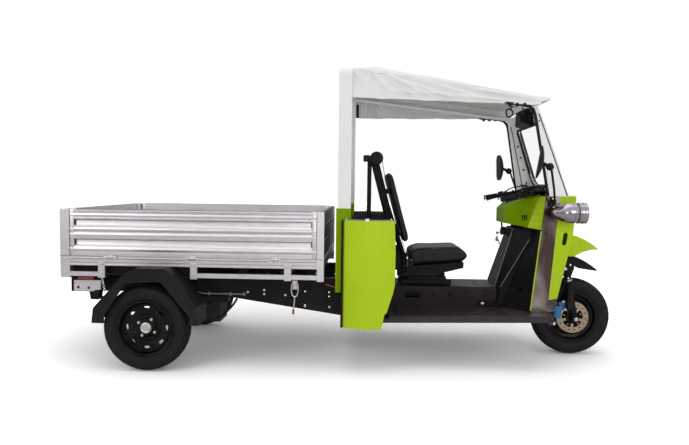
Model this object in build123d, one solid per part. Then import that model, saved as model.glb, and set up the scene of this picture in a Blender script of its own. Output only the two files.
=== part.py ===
from build123d import *
import os
from math import cos, radians, sin, tan

# A three-wheeled cargo rickshaw: a handlebar-steered open cab with a fabric canopy,
# and behind it an aluminium tray with three drop gates.
# Millimetres. While it is drawn, X runs forward from the rear axle, Y to the vehicle's
# left and Z up from the ground. At the end it is moved so that X = 0 is mid-length.

# Wheels
WHEELBASE = 2794.0
REAR_TRACK_HALF = 592.0
TYRE_RADIUS = 268.0
TYRE_WIDTH = 145.0
TYRE_SHOULDER = 16.0
RIM_RADIUS = 168.0
RIM_FLANGE = 8.0
RIM_WIDTH = 110.0
RIM_WALL = 8.0
WHEEL_VENTS = 8
SPINDLE_RADIUS = 20.0
HUB_RADIUS = 52.0
FRONT_AXLE_RADIUS = 9.0
FRONT_HUB_RADIUS = 34.0
SPOKES = 5
DISC_RADIUS = 110.0
DISC_THICKNESS = 5.0
DISC_PLANE = 66.0
GUARD_WIDTH = 202.0
GUARD_INNER = REAR_TRACK_HALF - TYRE_WIDTH / 2 - 21.5
GUARD_OUTER = GUARD_INNER + GUARD_WIDTH

# Running gaps
FIT = 0.3
CLEAR = 5.0

# Steering and fork
RAKE = 11.0
FORK_OFFSET = 45.0
LEG_HALF = 106.0
LEG_RADIUS = 23.0
LEG_TUBE_RADIUS = 16.0
LEG_SPLIT = 232.0
CROWN_BASE = 384.0
CROWN_DEPTH = 30.0
STEM_RADIUS = 19.0
HEAD_RADIUS = 30.0
HEAD_LENGTH = 330.0
STEM_TOP = 866.0
SPRING_TURNS = 6
BAR_RADIUS = 11.0
GRIP_RADIUS = 16.0
GRIP_LENGTH = 98.0

# Tray
TRAY_REAR = -547.0
TRAY_FRONT = 1095.0
TRAY_HALF = 600.0
FRAME_BOTTOM = 647.0
FRAME_TOP = 702.0
FRAME_RAIL = 50.0
GATE_TOP = 996.0
GATE_THICKNESS = 28.0
POST_BOTTOM = 570.0
POST_WIDTH = 60.0
FRONT_POST = 42.0
DECK_TOP = 706.0
DECK_THICKNESS = 14.0
HINGE_OFFSET = 8.0
BRACKETS = (-287, 290, 873)
KNUCKLE_RADIUS = 6.0
PIN_RADIUS = 3.0
KNUCKLE_LENGTH = 40.0
PLANKS = 3
TIE_BOTTOM = 580.0
TIE_HEIGHT = 28.0
TIE_DEPTH = 25.0

# Chassis
BEAM_OUTER = 400.0
BEAM_WIDTH = 60.0
BEAM_TOP = 560.0
BEAM_REAR = -490.0
BEAM_SKIN = 8.0
BEAM_DEEP = 452.0
STAND_OFFS = (-400, 90, 560, 1000)
CROSS_MEMBERS = (-430, 460, 800, 1215)
HOLE_RADIUS = 5.0
HOLE_PITCH = 27.0
MOUNT_HOLE_X = 1117.0
MOUNT_HOLE_Z = 455.5
CAB_REAR = 1258.0
AXLE_TUBE = 32.0
AXLE_BOWL = 95.0
LEAF_WIDTH = 50.0
LEAF_THICKNESS = 9.0
SPRING_HALF = 430.0

# Floor and cab
FLOOR_REAR_Z = 334.0
FLOOR_SLOPE = 0.0208
FLOOR_THICKNESS = 10.0
FLOOR_FRONT = WHEELBASE - 249
FLOOR_HALF = 500.0
RAIL_DEPTH = 38.0
TUNNEL_HALF = 175.0
TUNNEL_TOP = 485.0
SHEET = 6.0
COLUMN_FOOT = WHEELBASE - 553
COLUMN_HEAD = WHEELBASE - 430
COLUMN_REAR_LOW = 124.0
COLUMN_REAR_HIGH = 90.0
CREASE_LOW = WHEELBASE - 527
CREASE_HIGH = WHEELBASE - 300
COLUMN_TOP = 888.0
BOX_FRONT = 1500.0
BOX_TOP = 950.0
BOX_HALF = 545.0
LID_THICKNESS = 10.0

# Nose
NOSE_TOP = 1110.0
NOSE_MID = 860.0
NOSE_SKIN = 10.0
ARCH_HALF = 312.0
ARCH_TOP = 708.0
GREEN_BOTTOM = 444.0
POD_SIDE = 455.0
POD_RADIUS = 64.0
POD_HEIGHT = 1008.0
POD_TAIL = WHEELBASE - 287
POD_FRONT = WHEELBASE - 78
POD_MOUTH = 18.0

# Hoop, panels and canopy
HOOP_REAR = 1175.0
HOOP_FRONT = 1255.0
HOOP_HALF = 560.0
HOOP_WIDTH = 45.0
HOOP_TOP = 1879.0
HOOP_SPLIT = 1021.0
HOOP_BOTTOM = 500.0
SLEEVE = 10.0
PANEL_SKIN = 14.0
PANEL_TOP = 950.0
PANEL_BOTTOM = 284.0
CANOPY_SKIN = 8.0
SCREEN_X = WHEELBASE - 145
SCREEN_LEAN = 19.2
SCREEN_SKIN = 20.0
SCREEN_LENGTH = 612.0
SCREEN_TOP = NOSE_TOP + SCREEN_LENGTH * cos(radians(SCREEN_LEAN))
SCREEN_LOW_HALF = 345.0
SCREEN_HIGH_HALF = 296.0
POST_SHEET = 14.0

# Seat
CUSHION_HALF = 213.0
SEAT_BASE_HALF = 215.0
BACK_HALF = 208.0
BELT_TUBE = 14.0
BELT_HALF = 230.0


# Shape helpers

def block(x0, x1, y0, y1, z0, z1):
    """A box given by its limits."""
    centre = Pos((x0 + x1) / 2, (y0 + y1) / 2, (z0 + z1) / 2)
    return centre * Box(x1 - x0, y1 - y0, z1 - z0)


def side_plate(points, y0, y1):
    """A plate with the side outline (x, z), from y0 to y1."""
    outline = Polyline(*[(x, y0, z) for x, z in points], close=True)
    return extrude(make_face(outline), amount=y1 - y0, dir=(0, 1, 0))


def plan_plate(points, z0, z1):
    """A plate with the plan outline (x, y), from z0 to z1."""
    outline = Polyline(*[(x, y, z0) for x, y in points], close=True)
    return extrude(make_face(outline), amount=z1 - z0, dir=(0, 0, 1))


def front_plate(points, x0, x1):
    """A plate with the front outline (y, z), from x0 to x1."""
    outline = Polyline(*[(x0, y, z) for y, z in points], close=True)
    return extrude(make_face(outline), amount=x1 - x0, dir=(1, 0, 0))


def rod(start, end, radius):
    """A round bar between two points."""
    line = Vector(*end) - Vector(*start)
    foot = Plane(origin=start, z_dir=line)
    return extrude(foot * Circle(radius), amount=line.length)


def across(x, y0, y1, z, radius):
    """A round bar along Y."""
    return rod((x, y0, z), (x, y1, z), radius)


def other_side(shape):
    return mirror(shape, about=Plane.XZ)


def both_sides(shape):
    """The shape and its mirror image, as solids that don't touch."""
    return [shape, other_side(shape)]


def bent_tube(points, bend, radius):
    """A tube along straight runs joined by round bends."""
    path = FilletPolyline(*points, radius=bend)
    section = Plane(origin=path @ 0, z_dir=path % 0) * Circle(radius)
    return sweep(section, path=path)


def inset(points, distance):
    """The open line of points moved to its right-hand side, with mitred corners."""
    sides = []
    for (x0, y0), (x1, y1) in zip(points, points[1:]):
        run = Vector(x1 - x0, y1 - y0).normalized()
        sides.append((Vector(x0, y0), run, Vector(run.Y, -run.X)))
    moved = [sides[0][0] + sides[0][2] * distance]
    for (_, run_a, side_a), (corner, run_b, side_b) in zip(sides, sides[1:]):
        half = (side_a + side_b).normalized()
        moved.append(corner + half * (distance / half.dot(side_a)))
    last = Vector(*points[-1])
    moved.append(last + sides[-1][2] * distance)
    return [(point.X, point.Y) for point in moved]


def floor_top(x):
    """The floor rises a little towards the front."""
    return FLOOR_REAR_Z + (x - CAB_REAR) * FLOOR_SLOPE


def as_solids(shapes):
    """All solids of a shape or a list of shapes."""
    group = shapes if isinstance(shapes, (list, tuple)) else [shapes]
    return [solid for shape in group for solid in shape.solids()]


# Wheels, drawn at the origin with the axle along Y and the outer side at +Y

def tyre():
    wide = TYRE_WIDTH / 2
    seat = RIM_WIDTH / 2
    rim_edge = RIM_RADIUS + RIM_FLANGE
    shoulder = TYRE_RADIUS - TYRE_SHOULDER
    tread = wide - 14
    middle = (rim_edge + shoulder) / 2
    outline = [
        Line((0, -seat, RIM_RADIUS), (0, seat, RIM_RADIUS)),
        Line((0, seat, RIM_RADIUS), (0, seat, rim_edge)),
        ThreePointArc((0, seat, rim_edge), (0, wide, middle), (0, tread, shoulder)),
        ThreePointArc((0, tread, shoulder), (0, 0, TYRE_RADIUS), (0, -tread, shoulder)),
        ThreePointArc((0, -tread, shoulder), (0, -wide, middle), (0, -seat, rim_edge)),
        Line((0, -seat, rim_edge), (0, -seat, RIM_RADIUS)),
    ]
    return revolve(make_face(Curve() + outline), axis=Axis.Y)


def rim_barrel():
    """The rolled steel rim with its two edges."""
    seat = RIM_WIDTH / 2
    edge = seat + SHEET
    inner = RIM_RADIUS - RIM_WALL
    outline = Polyline(
        (0, -edge, inner), (0, edge, inner), (0, edge, RIM_RADIUS + RIM_FLANGE),
        (0, seat, RIM_RADIUS + RIM_FLANGE), (0, seat, RIM_RADIUS),
        (0, -seat, RIM_RADIUS), (0, -seat, RIM_RADIUS + RIM_FLANGE),
        (0, -edge, RIM_RADIUS + RIM_FLANGE), close=True)
    return revolve(make_face(outline), axis=Axis.Y)


def rear_rim():
    """A pressed steel wheel: dished disc with vents, round a hub."""
    inner = RIM_RADIUS - RIM_WALL
    bore = SPINDLE_RADIUS + FIT
    dish = Polyline(
        (0, -24, bore), (0, 22, bore), (0, 22, HUB_RADIUS), (0, 8, HUB_RADIUS + 12),
        (0, 20, inner - 52), (0, 20, inner - 18), (0, 8, inner), (0, 0, inner),
        (0, 12, inner - 22), (0, 12, inner - 48), (0, 0, HUB_RADIUS + 8),
        (0, -24, HUB_RADIUS), close=True)
    disc = revolve(make_face(dish), axis=Axis.Y)
    vent = Rot(90, 0, 0) * extrude(SlotOverall(34, 15), amount=60, both=True)
    for turn in range(WHEEL_VENTS):
        angle = 360 * turn / WHEEL_VENTS
        disc -= Rot(0, angle, 0) * Pos(0, 0, inner - 35) * vent
    return rim_barrel() + disc


def front_rim():
    """A light wheel with open spokes."""
    inner = RIM_RADIUS - RIM_WALL
    hub = across(0, -DISC_PLANE, DISC_PLANE, 0, FRONT_HUB_RADIUS)
    spoke = front_plate([(-14, 0), (14, 0), (9, inner + 2), (-9, inner + 2)], -11, 11)
    wheel = rim_barrel() + hub
    for turn in range(SPOKES):
        wheel += Rot(0, 360 * turn / SPOKES, 0) * spoke
    return wheel - across(0, -DISC_PLANE, DISC_PLANE, 0, FRONT_AXLE_RADIUS + FIT)


def brake_disc():
    """A drilled ring on five arms, on the hub's right end."""
    y1 = -DISC_PLANE
    y0 = y1 - DISC_THICKNESS
    ring = across(0, y0, y1, 0, DISC_RADIUS) - across(0, y0, y1, 0, DISC_RADIUS - 38)
    centre = across(0, y0, y1, 0, FRONT_HUB_RADIUS)
    shape = ring + centre
    for turn in range(SPOKES):
        arm = block(-9, 9, y0, y1, 0, DISC_RADIUS - 34)
        shape += Rot(0, 360 * turn / SPOKES + 36, 0) * arm
    for turn in range(3 * SPOKES):
        hole = across(0, y0, y1, DISC_RADIUS - 19, 5)
        shape -= Rot(0, 120 * turn / SPOKES, 0) * hole
    return shape - across(0, y0, y1, 0, FRONT_AXLE_RADIUS + FIT)


FRONT_WHEEL = Pos(WHEELBASE, 0, TYRE_RADIUS)
REAR_WHEEL = Pos(0, REAR_TRACK_HALF, TYRE_RADIUS)


# Front fork, drawn along the steering axis: x forward of the axis, z up along it

LEAN = radians(RAKE)
AXIS_FOOT_X = WHEELBASE - FORK_OFFSET / cos(LEAN)
STEERING = Plane(
    origin=(AXIS_FOOT_X, 0, TYRE_RADIUS),
    x_dir=(cos(LEAN), 0, sin(LEAN)),
    z_dir=(-sin(LEAN), 0, cos(LEAN))).location
AXLE_DROP = -FORK_OFFSET * tan(LEAN)
CROWN_TOP = CROWN_BASE + CROWN_DEPTH


def fork():
    split = (FORK_OFFSET, LEG_HALF, LEG_SPLIT)
    leg = rod((FORK_OFFSET, LEG_HALF, AXLE_DROP), split, LEG_RADIUS)
    leg += rod(split, (FORK_OFFSET, LEG_HALF, CROWN_BASE), LEG_TUBE_RADIUS)
    foot = rod((FORK_OFFSET, LEG_HALF - LEG_RADIUS, AXLE_DROP),
               (FORK_OFFSET, LEG_HALF + LEG_RADIUS, AXLE_DROP), LEG_RADIUS + 3)
    leg += foot
    crown = block(-34, FORK_OFFSET + 34, -LEG_HALF - 28, LEG_HALF + 28, CROWN_BASE, CROWN_TOP)
    crown = fillet(crown.edges().filter_by(Axis.Z), 24)
    axle = rod((FORK_OFFSET, -LEG_HALF - LEG_RADIUS - 8, AXLE_DROP),
               (FORK_OFFSET, LEG_HALF + LEG_RADIUS + 8, AXLE_DROP), FRONT_AXLE_RADIUS)
    stem = rod((0, 0, CROWN_TOP), (0, 0, STEM_TOP), STEM_RADIUS)
    return STEERING * (leg + other_side(leg) + crown + axle + stem)


def fork_springs():
    """Coils round the upper leg tubes, drawn as close rings on a sleeve."""
    length = CROWN_BASE - LEG_SPLIT
    pitch = length / SPRING_TURNS
    wire = 5.0
    coil = LEG_TUBE_RADIUS + 10
    sleeve = LEG_TUBE_RADIUS + 6
    body = Pos(0, 0, length / 2) * Cylinder(sleeve, length)
    for turn in range(SPRING_TURNS):
        body += Pos(0, 0, pitch * (turn + 0.5)) * Torus(coil - wire / 2, wire)
    body -= Pos(0, 0, length / 2) * Cylinder(LEG_TUBE_RADIUS, length)
    spring = STEERING * (Pos(FORK_OFFSET, LEG_HALF, LEG_SPLIT) * body)
    return both_sides(spring)


def bar_points():
    """The handlebar from its right end to its left end."""
    half = [(WHEELBASE - 549, 280, 1088), (WHEELBASE - 449, 266, 1108),
            (WHEELBASE - 299, 165, 1142), (WHEELBASE - 227, 65, 1142)]
    right = [(x, -y, z) for x, y, z in half]
    return right + half[::-1]


def handlebar():
    bar = bent_tube(bar_points(), 28, BAR_RADIUS)
    clamp = STEERING * block(-28, 10, -30, 30, STEM_TOP, STEM_TOP + 34)
    return bar + clamp


def grips(bar):
    end, inner = [Vector(*point) for point in bar_points()[:2]]
    run = (inner - end).normalized()
    shape = rod(tuple(end - run * 2), tuple(end + run * (GRIP_LENGTH - 12)), GRIP_RADIUS)
    return [part - bar for part in both_sides(shape)]


def instrument_cluster(bar):
    """The clock housing behind the clamp."""
    outline = [(-342, 1122), (-238, 1132), (-238, 1172), (-256, 1182), (-348, 1156)]
    shape = side_plate([(WHEELBASE + x, z) for x, z in outline], -62, 62)
    shape = fillet(shape.edges().filter_by(Axis.Y), 6)
    return shape - bar


def front_mudguard(fork_shape):
    """A short pointed guard bolted to the fork's crown."""
    tip = WHEELBASE + 185
    outline = [(-94, 668), (-52, 690), (-4, 688), (76, 658), (142, 618), (185, 584), (110, 598), (28, 612),
               (-22, 634), (-74, 640)]
    outline = [(WHEELBASE + x, z) for x, z in outline]
    plan = [(WHEELBASE - 104, -78), (WHEELBASE + 66, -74), (tip, -10), (tip, 10), (WHEELBASE + 66, 74),
            (WHEELBASE - 104, 78)]
    guard = side_plate(outline, -90, 90) & plan_plate(plan, 540, 720)
    hollow = side_plate([(x, z - 7) for x, z in outline], -90, 90)
    hollow &= plan_plate([(WHEELBASE - 144, -71), (WHEELBASE + 62, -67), (tip - 19, -7), (tip - 19, 7),
                          (WHEELBASE + 62, 67), (WHEELBASE - 144, 71)], 520, 720)
    return guard - hollow - fork_shape


def brake_caliper(fork_shape):
    """Two halves over the disc's rear edge, on a bracket from the right leg."""
    slot_out = DISC_PLANE + DISC_THICKNESS + CLEAR
    slot_in = DISC_PLANE - CLEAR
    body = block(WHEELBASE - 132, WHEELBASE - 84, -slot_out - 20, -slot_in + 14, 262, 352)
    body = fillet(body.edges().filter_by(Axis.Y), 12)
    body -= block(WHEELBASE - 194, WHEELBASE - 83, -slot_out, -slot_in, 250, 346)
    body -= across(WHEELBASE, -slot_out, -slot_in, TYRE_RADIUS, DISC_RADIUS + CLEAR)
    outline = [(-104, 372), (-42, 400), (-18, 330), (-94, 318)]
    bracket = side_plate([(WHEELBASE + x, z) for x, z in outline], -slot_out - 14, -slot_out - 6)
    return body + bracket - fork_shape


# Nose

def nose_point(z, low, middle, high):
    """A corner's place at height z, from its place at three heights."""
    if z < NOSE_MID:
        part = (z - NOSE_BOTTOM) / (NOSE_MID - NOSE_BOTTOM)
        return low + (middle - low) * part
    part = (z - NOSE_MID) / (NOSE_TOP - NOSE_MID)
    return middle + (high - middle) * part


def nose_line(z):
    """The nose outline at height z, from its right rear edge to the centre of its front."""
    return [
        (nose_point(z, WHEELBASE - 376, WHEELBASE - 327, WHEELBASE - 302), -390.0),
        (nose_point(z, WHEELBASE - 270, WHEELBASE - 231, WHEELBASE - 206), -376.0),
        (nose_point(z, WHEELBASE - 212, WHEELBASE - 106, WHEELBASE - 94), -332.0),
        (nose_point(z, WHEELBASE - 104, WHEELBASE - 8, WHEELBASE + 2), 0.0),
    ]


NOSE_BOTTOM = floor_top(FLOOR_FRONT)
NOSE_LEVELS = (NOSE_BOTTOM, NOSE_MID, NOSE_TOP)


def nose_ring(first, last, mirrored):
    """A bent wall through three levels, between two corners of the outline."""
    faces = []
    for z in NOSE_LEVELS:
        outer = nose_line(z)
        if mirrored:
            outer = outer + [(x, -y) for x, y in outer[-2::-1]]
        inner = inset(outer, -NOSE_SKIN)
        chosen = outer[first:last] + inner[first:last][::-1]
        faces.append(make_face(Polyline(*[(x, y, z) for x, y in chosen], close=True)))
    return loft(faces, ruled=True)


def nose_core():
    """The nose as a filled body, to cut what meets it from outside."""
    faces = []
    for z in NOSE_LEVELS:
        outer = nose_line(z)
        outer = outer + [(x, -y) for x, y in outer[-2::-1]]
        faces.append(make_face(Polyline(*[(x, y, z) for x, y in outer], close=True)))
    return loft(faces, ruled=True)


def nose_trims():
    """The polished strips up the nose's rear corners."""
    return both_sides(nose_ring(0, 2, True))


def nose_shell():
    """The painted nose: two slotted cheeks, an arched front and the cowl on top."""
    shell = nose_ring(1, 6, True)
    arch = Rectangle(2 * ARCH_HALF, ARCH_TOP)
    arch = Pos(0, ARCH_TOP / 2) * arch
    face_plane = Plane(origin=(WHEELBASE - 294, 0, 0), x_dir=(0, 1, 0), z_dir=(1, 0, 0))
    opening = extrude(face_plane * arch, amount=400)
    opening = fillet(opening.edges().filter_by(Axis.X).group_by(Axis.Z)[-1], 60)
    shell -= opening
    low_end = block(WHEELBASE - 394, WHEELBASE + 6, -450, 450, NOSE_BOTTOM - 1, GREEN_BOTTOM)
    shell -= low_end
    slot = Rot(90, 0, 0) * extrude(Rot(0, 0, 82) * SlotOverall(84, 32), amount=600, both=True)
    shell -= Pos(WHEELBASE - 164, 0, 836) * slot
    rear = WHEELBASE - 188
    top = inset(nose_line(NOSE_TOP)[1:], -NOSE_SKIN)
    corner, front = top[1], top[2]
    reach = (rear - top[0][0]) / (corner[0] - top[0][0])
    rear_half = top[0][1] + (corner[1] - top[0][1]) * reach
    cowl = plan_plate([(rear, rear_half), corner, front, (corner[0], -corner[1]), (rear, -rear_half)],
                      NOSE_TOP - NOSE_SKIN, NOSE_TOP)
    return shell + cowl


def nose_foot():
    """The right polished strip's folded foot, below the painted cheek."""
    foot = nose_ring(1, 3, True)
    foot &= block(WHEELBASE - 394, WHEELBASE + 6, -450, 450, NOSE_BOTTOM, GREEN_BOTTOM)
    return foot


def nose_beak(core):
    """The pointed guard below the lamps, a thin shell open underneath."""
    tip = (WHEELBASE + 190, 0, 735)
    top = Spline((WHEELBASE - 24, 0, 842), (WHEELBASE + 94, 0, 792), tip)
    low = Spline(tip, (WHEELBASE + 86, 0, 737), (WHEELBASE + 21, 0, 723), (WHEELBASE - 30, 0, 702))
    rear = WHEELBASE - 134
    outline = Curve() + [
        top,
        low,
        Line((WHEELBASE - 30, 0, 702), (rear, 0, 702)),
        Line((rear, 0, 702), (rear, 0, 842)),
        Line((rear, 0, 842), (WHEELBASE - 24, 0, 842)),
    ]
    side = extrude(make_face(outline), amount=200, both=True, dir=(0, 1, 0))
    plan = [(-154, -168), (-18, -150), (86, -92), (190, -6), (190, 6), (86, 92), (-18, 150), (-154, 168)]
    room = [(-194, -160), (-20, -142), (80, -84), (166, -4), (166, 4), (80, 84), (-20, 142), (-194, 160)]
    beak = side & plan_plate([(WHEELBASE + x, y) for x, y in plan], 600, 900)
    hollow = Pos(-12, 0, -8) * side
    hollow &= plan_plate([(WHEELBASE + x, y) for x, y in room], 600, 900)
    return beak - hollow - core


def headlamp_pods(core):
    """Bullet lamp housings, open in front, each on a boss from the nose's cheek."""
    length = POD_FRONT - POD_TAIL
    ring = length - 48
    shape = Curve() + [
        Spline((0, 0), (22, 30), (60, 53), (104, POD_RADIUS), tangents=((0, 1), (1, 0.05))),
        Spline((104, POD_RADIUS), (ring, POD_RADIUS - 7), tangents=((1, 0.05), (1, -0.2))),
        Line((ring, POD_RADIUS - 7), (ring + 6, POD_RADIUS)),
        Line((ring + 6, POD_RADIUS), (length, POD_RADIUS)),
        Line((length, POD_RADIUS), (length, POD_RADIUS - 6)),
        Line((length, POD_RADIUS - 6), (length - POD_MOUTH, POD_RADIUS - 8)),
        Line((length - POD_MOUTH, POD_RADIUS - 8), (length - POD_MOUTH, 0)),
        Line((length - POD_MOUTH, 0), (0, 0)),
    ]
    pod = revolve(make_face(shape), axis=Axis.X)
    pod = Pos(POD_TAIL, -POD_SIDE, POD_HEIGHT) * pod
    boss = across(POD_TAIL + 112, -POD_SIDE, -330, POD_HEIGHT, 20)
    pod = pod + boss
    return both_sides(pod - core)


def headlamp_lenses():
    """Domed glasses in the pods' mouths."""
    seat = POD_FRONT - POD_MOUTH
    radius = POD_RADIUS - 8.3
    lens = rod((seat, -POD_SIDE, POD_HEIGHT), (seat + 16, -POD_SIDE, POD_HEIGHT), radius)
    lens = fillet(lens.edges().group_by(Axis.X)[-1], 14)
    return both_sides(lens)


# Cab floor, column and dash

def floor_tunnel():
    """The central tunnel from the box to the column, open underneath."""
    outer = [(BOX_FRONT, floor_top(BOX_FRONT)), (BOX_FRONT, TUNNEL_TOP), (COLUMN_FOOT, TUNNEL_TOP),
             (COLUMN_FOOT, floor_top(COLUMN_FOOT))]
    shape = side_plate(outer, -TUNNEL_HALF, TUNNEL_HALF)
    shape = fillet(shape.edges().filter_by(Axis.X).group_by(Axis.Z)[-1], 14)
    shape -= block(BOX_FRONT - 1, COLUMN_FOOT + 1, SHEET - TUNNEL_HALF, TUNNEL_HALF - SHEET,
                   300, TUNNEL_TOP - SHEET)
    slot = Rot(90, 0, 0) * extrude(SlotOverall(110, 52), amount=300, both=True)
    shape -= Pos(1674, 0, 420) * slot
    for share in (0.43, 0.577):
        x = BOX_FRONT + share * (COLUMN_FOOT - BOX_FRONT)
        shape -= across(x, -300, 300, 430, 11)
    return shape


def running_boards():
    """The floor plates each side of the tunnel, with their rolled outer edges."""
    rear = floor_top(CAB_REAR)
    front = floor_top(FLOOR_FRONT)
    plate = side_plate([(CAB_REAR, rear - FLOOR_THICKNESS), (FLOOR_FRONT, front - FLOOR_THICKNESS),
                        (FLOOR_FRONT, front), (CAB_REAR, rear)], TUNNEL_HALF - 40, FLOOR_HALF)
    edge = side_plate([(CAB_REAR, rear - RAIL_DEPTH), (FLOOR_FRONT, front - RAIL_DEPTH),
                       (FLOOR_FRONT, front), (CAB_REAR, rear)], FLOOR_HALF - 34, FLOOR_HALF)
    board = plate + edge
    turn_x = FLOOR_FRONT - 60
    turn_y = FLOOR_HALF - 60
    corner = block(turn_x, FLOOR_FRONT + 1, turn_y, FLOOR_HALF + 1, 250, 420)
    corner -= rod((turn_x, turn_y, 240), (turn_x, turn_y, 430), 60)
    return both_sides(board - corner)


def column_corner(shift_x, shift_y):
    """The wedge taken off the column's rear right corner, from its foot to its head."""
    faces = []
    for z, rear_x, rear_half, crease_x in (
            (TUNNEL_TOP, COLUMN_FOOT, COLUMN_REAR_LOW, CREASE_LOW),
            (COLUMN_TOP + 2, COLUMN_HEAD, COLUMN_REAR_HIGH, CREASE_HIGH)):
        start = Vector(rear_x + shift_x, shift_y - rear_half)
        end = Vector(crease_x + shift_x, shift_y - TUNNEL_HALF)
        run = (end - start).normalized() * 30
        corners = [start - run, end + run, Vector(rear_x - 60, -TUNNEL_HALF - 80)]
        faces.append(make_face(Polyline(*[(point.X, point.Y, z) for point in corners], close=True)))
    foot = extrude(faces[0], amount=TUNNEL_TOP - 300, dir=(0, 0, -1))
    return loft(faces, ruled=True) + foot


def column_room():
    """The space inside the column's sheets."""
    front = WHEELBASE - 274
    outline = [(COLUMN_FOOT - 20, 300), (COLUMN_FOOT - 20 + SHEET, TUNNEL_TOP - SHEET),
               (COLUMN_FOOT + SHEET, TUNNEL_TOP - SHEET), (COLUMN_HEAD + SHEET, COLUMN_TOP + 1),
               (front, COLUMN_TOP + 1), (front, 300)]
    room = side_plate(outline, SHEET - TUNNEL_HALF, TUNNEL_HALF - SHEET)
    for corner in both_sides(column_corner(4, 5)):
        room -= corner
    return room


def leg_shield(trims, boards, room):
    """The upright column between the driver's feet, with a wing to each cheek of the nose."""
    outline = [(COLUMN_FOOT, floor_top(COLUMN_FOOT)), (COLUMN_FOOT, TUNNEL_TOP), (COLUMN_HEAD, COLUMN_TOP),
               (WHEELBASE - 296, COLUMN_TOP), (WHEELBASE - 332, floor_top(WHEELBASE - 332))]
    column = side_plate(outline, -TUNNEL_HALF, TUNNEL_HALF)
    for corner in both_sides(column_corner(0, 0)):
        column -= corner
    shield = column - room
    low = [(-526, 172), (-526, 180), (-360, 378), (-350, 378), (-512, 172)]
    high = [(-312, 172), (-312, 180), (-320, 378), (-310, 378), (-302, 172)]
    level = floor_top(WHEELBASE - 354)
    for side in (-1, 1):
        foot = Polyline(*[(WHEELBASE + x, side * y, level) for x, y in low], close=True)
        head = Polyline(*[(WHEELBASE + x, side * y, COLUMN_TOP) for x, y in high], close=True)
        shield += loft([make_face(foot), make_face(head)], ruled=True)
    for neighbour in trims + boards:
        shield -= neighbour
    return shield


def steering_head(room):
    """The steering bearing tube with its plates back to the column."""
    middle = CROWN_TOP + CLEAR + HEAD_LENGTH / 2
    tube = STEERING * (Pos(0, 0, middle) * Cylinder(HEAD_RADIUS, HEAD_LENGTH))
    bore = STEERING * (Pos(0, 0, middle) * Cylinder(STEM_RADIUS + FIT, HEAD_LENGTH + 2))
    outline = [(-326, 740), (-154, 740), (-178, 860), (-326, 860)]
    gusset = side_plate([(WHEELBASE + x, z) for x, z in outline], 14, 22)
    bridge = block(WHEELBASE - 338, WHEELBASE - 326, -TUNNEL_HALF, TUNNEL_HALF, 730, 870) & room
    return tube + gusset + other_side(gusset) + bridge - bore


def dash_body(profile, thick, reach):
    """The dash's filled form: facets leaning from a low plan to a high one, cut to a side profile."""
    low = [(-503, -114), (-416, -207), (-390, -278), (-296, -379.7)]
    high = [(-503, -114), (-420, -186), (-304, -248), (-296, -379.7)]
    faces = []
    for z, plan in ((870, low), (1130, high)):
        line = inset([(WHEELBASE + x, y) for x, y in plan], -thick)
        line[-1] = (WHEELBASE - 296 + reach, line[-1][1])
        line = line + [(x, -y) for x, y in line[::-1]]
        faces.append(make_face(Polyline(*[(x, y, z) for x, y in line], close=True)))
    side = side_plate([(WHEELBASE + x, z) for x, z in profile], -400, 400)
    return loft(faces, ruled=True) & side


def dash_fairing(trims):
    """The faceted dash behind the handlebar, open towards the nose."""
    side = [(-503, 921), (-503, 1018), (-416, 1078), (-296, 1110), (-296, COLUMN_TOP)]
    room = [(-495, 928), (-495, 1013), (-413, 1069), (-294, 1101), (-294, 896)]
    shell = dash_body(side, 0, 0) - dash_body(room, 8, 2)
    return shell - trims[0] - trims[1]


# Rear frame and axle

def beam_low(x):
    """The beams deepen towards the cab."""
    if x < 300:
        return BEAM_DEEP
    return BEAM_DEEP - (x - 300) * 140 / (CAB_REAR - 300)


def chassis_frame():
    """Two deep channel beams, cross-members, tray stand-offs and the cab's outriggers."""
    outline = [(BEAM_REAR, 500), (BEAM_REAR, BEAM_TOP), (CAB_REAR, BEAM_TOP), (CAB_REAR, beam_low(CAB_REAR)),
               (300, beam_low(300)), (-420, beam_low(300))]
    inner = BEAM_OUTER - BEAM_WIDTH
    web = BEAM_OUTER - BEAM_SKIN
    beam = side_plate(outline, inner, BEAM_OUTER)
    hollow = [(BEAM_REAR + BEAM_SKIN, 504), (BEAM_REAR + BEAM_SKIN, BEAM_TOP - BEAM_SKIN),
              (CAB_REAR - BEAM_SKIN, BEAM_TOP - BEAM_SKIN),
              (CAB_REAR - BEAM_SKIN, beam_low(CAB_REAR) + BEAM_SKIN + 1),
              (301, beam_low(300) + BEAM_SKIN), (-418, beam_low(300) + BEAM_SKIN)]
    beam -= side_plate(hollow, inner - 1, web)
    for x, z in FRAME_HOLES:
        beam -= across(x, inner, BEAM_OUTER + 1, z, HOLE_RADIUS)
    for x in STAND_OFFS:
        beam += block(x - 25, x + 25, inner, BEAM_OUTER, BEAM_TOP, FRAME_BOTTOM)
    beam += block(HOOP_REAR + 5, HOOP_FRONT - 5, BEAM_OUTER - 2, HOOP_HALF - HOOP_WIDTH,
                  HOOP_BOTTOM, HOOP_BOTTOM + 56)
    frame = beam + other_side(beam)
    for x in CROSS_MEMBERS:
        frame += block(x - 25, x + 25, -web, web, 478, 528)
    return frame


FRAME_HOLES = [
    (MOUNT_HOLE_X, MOUNT_HOLE_Z + HOLE_PITCH / 2), (MOUNT_HOLE_X, MOUNT_HOLE_Z - HOLE_PITCH / 2),
    (588, 462), (693, 475), (961, 472), (962, 384), (1118, 375),
]


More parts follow.
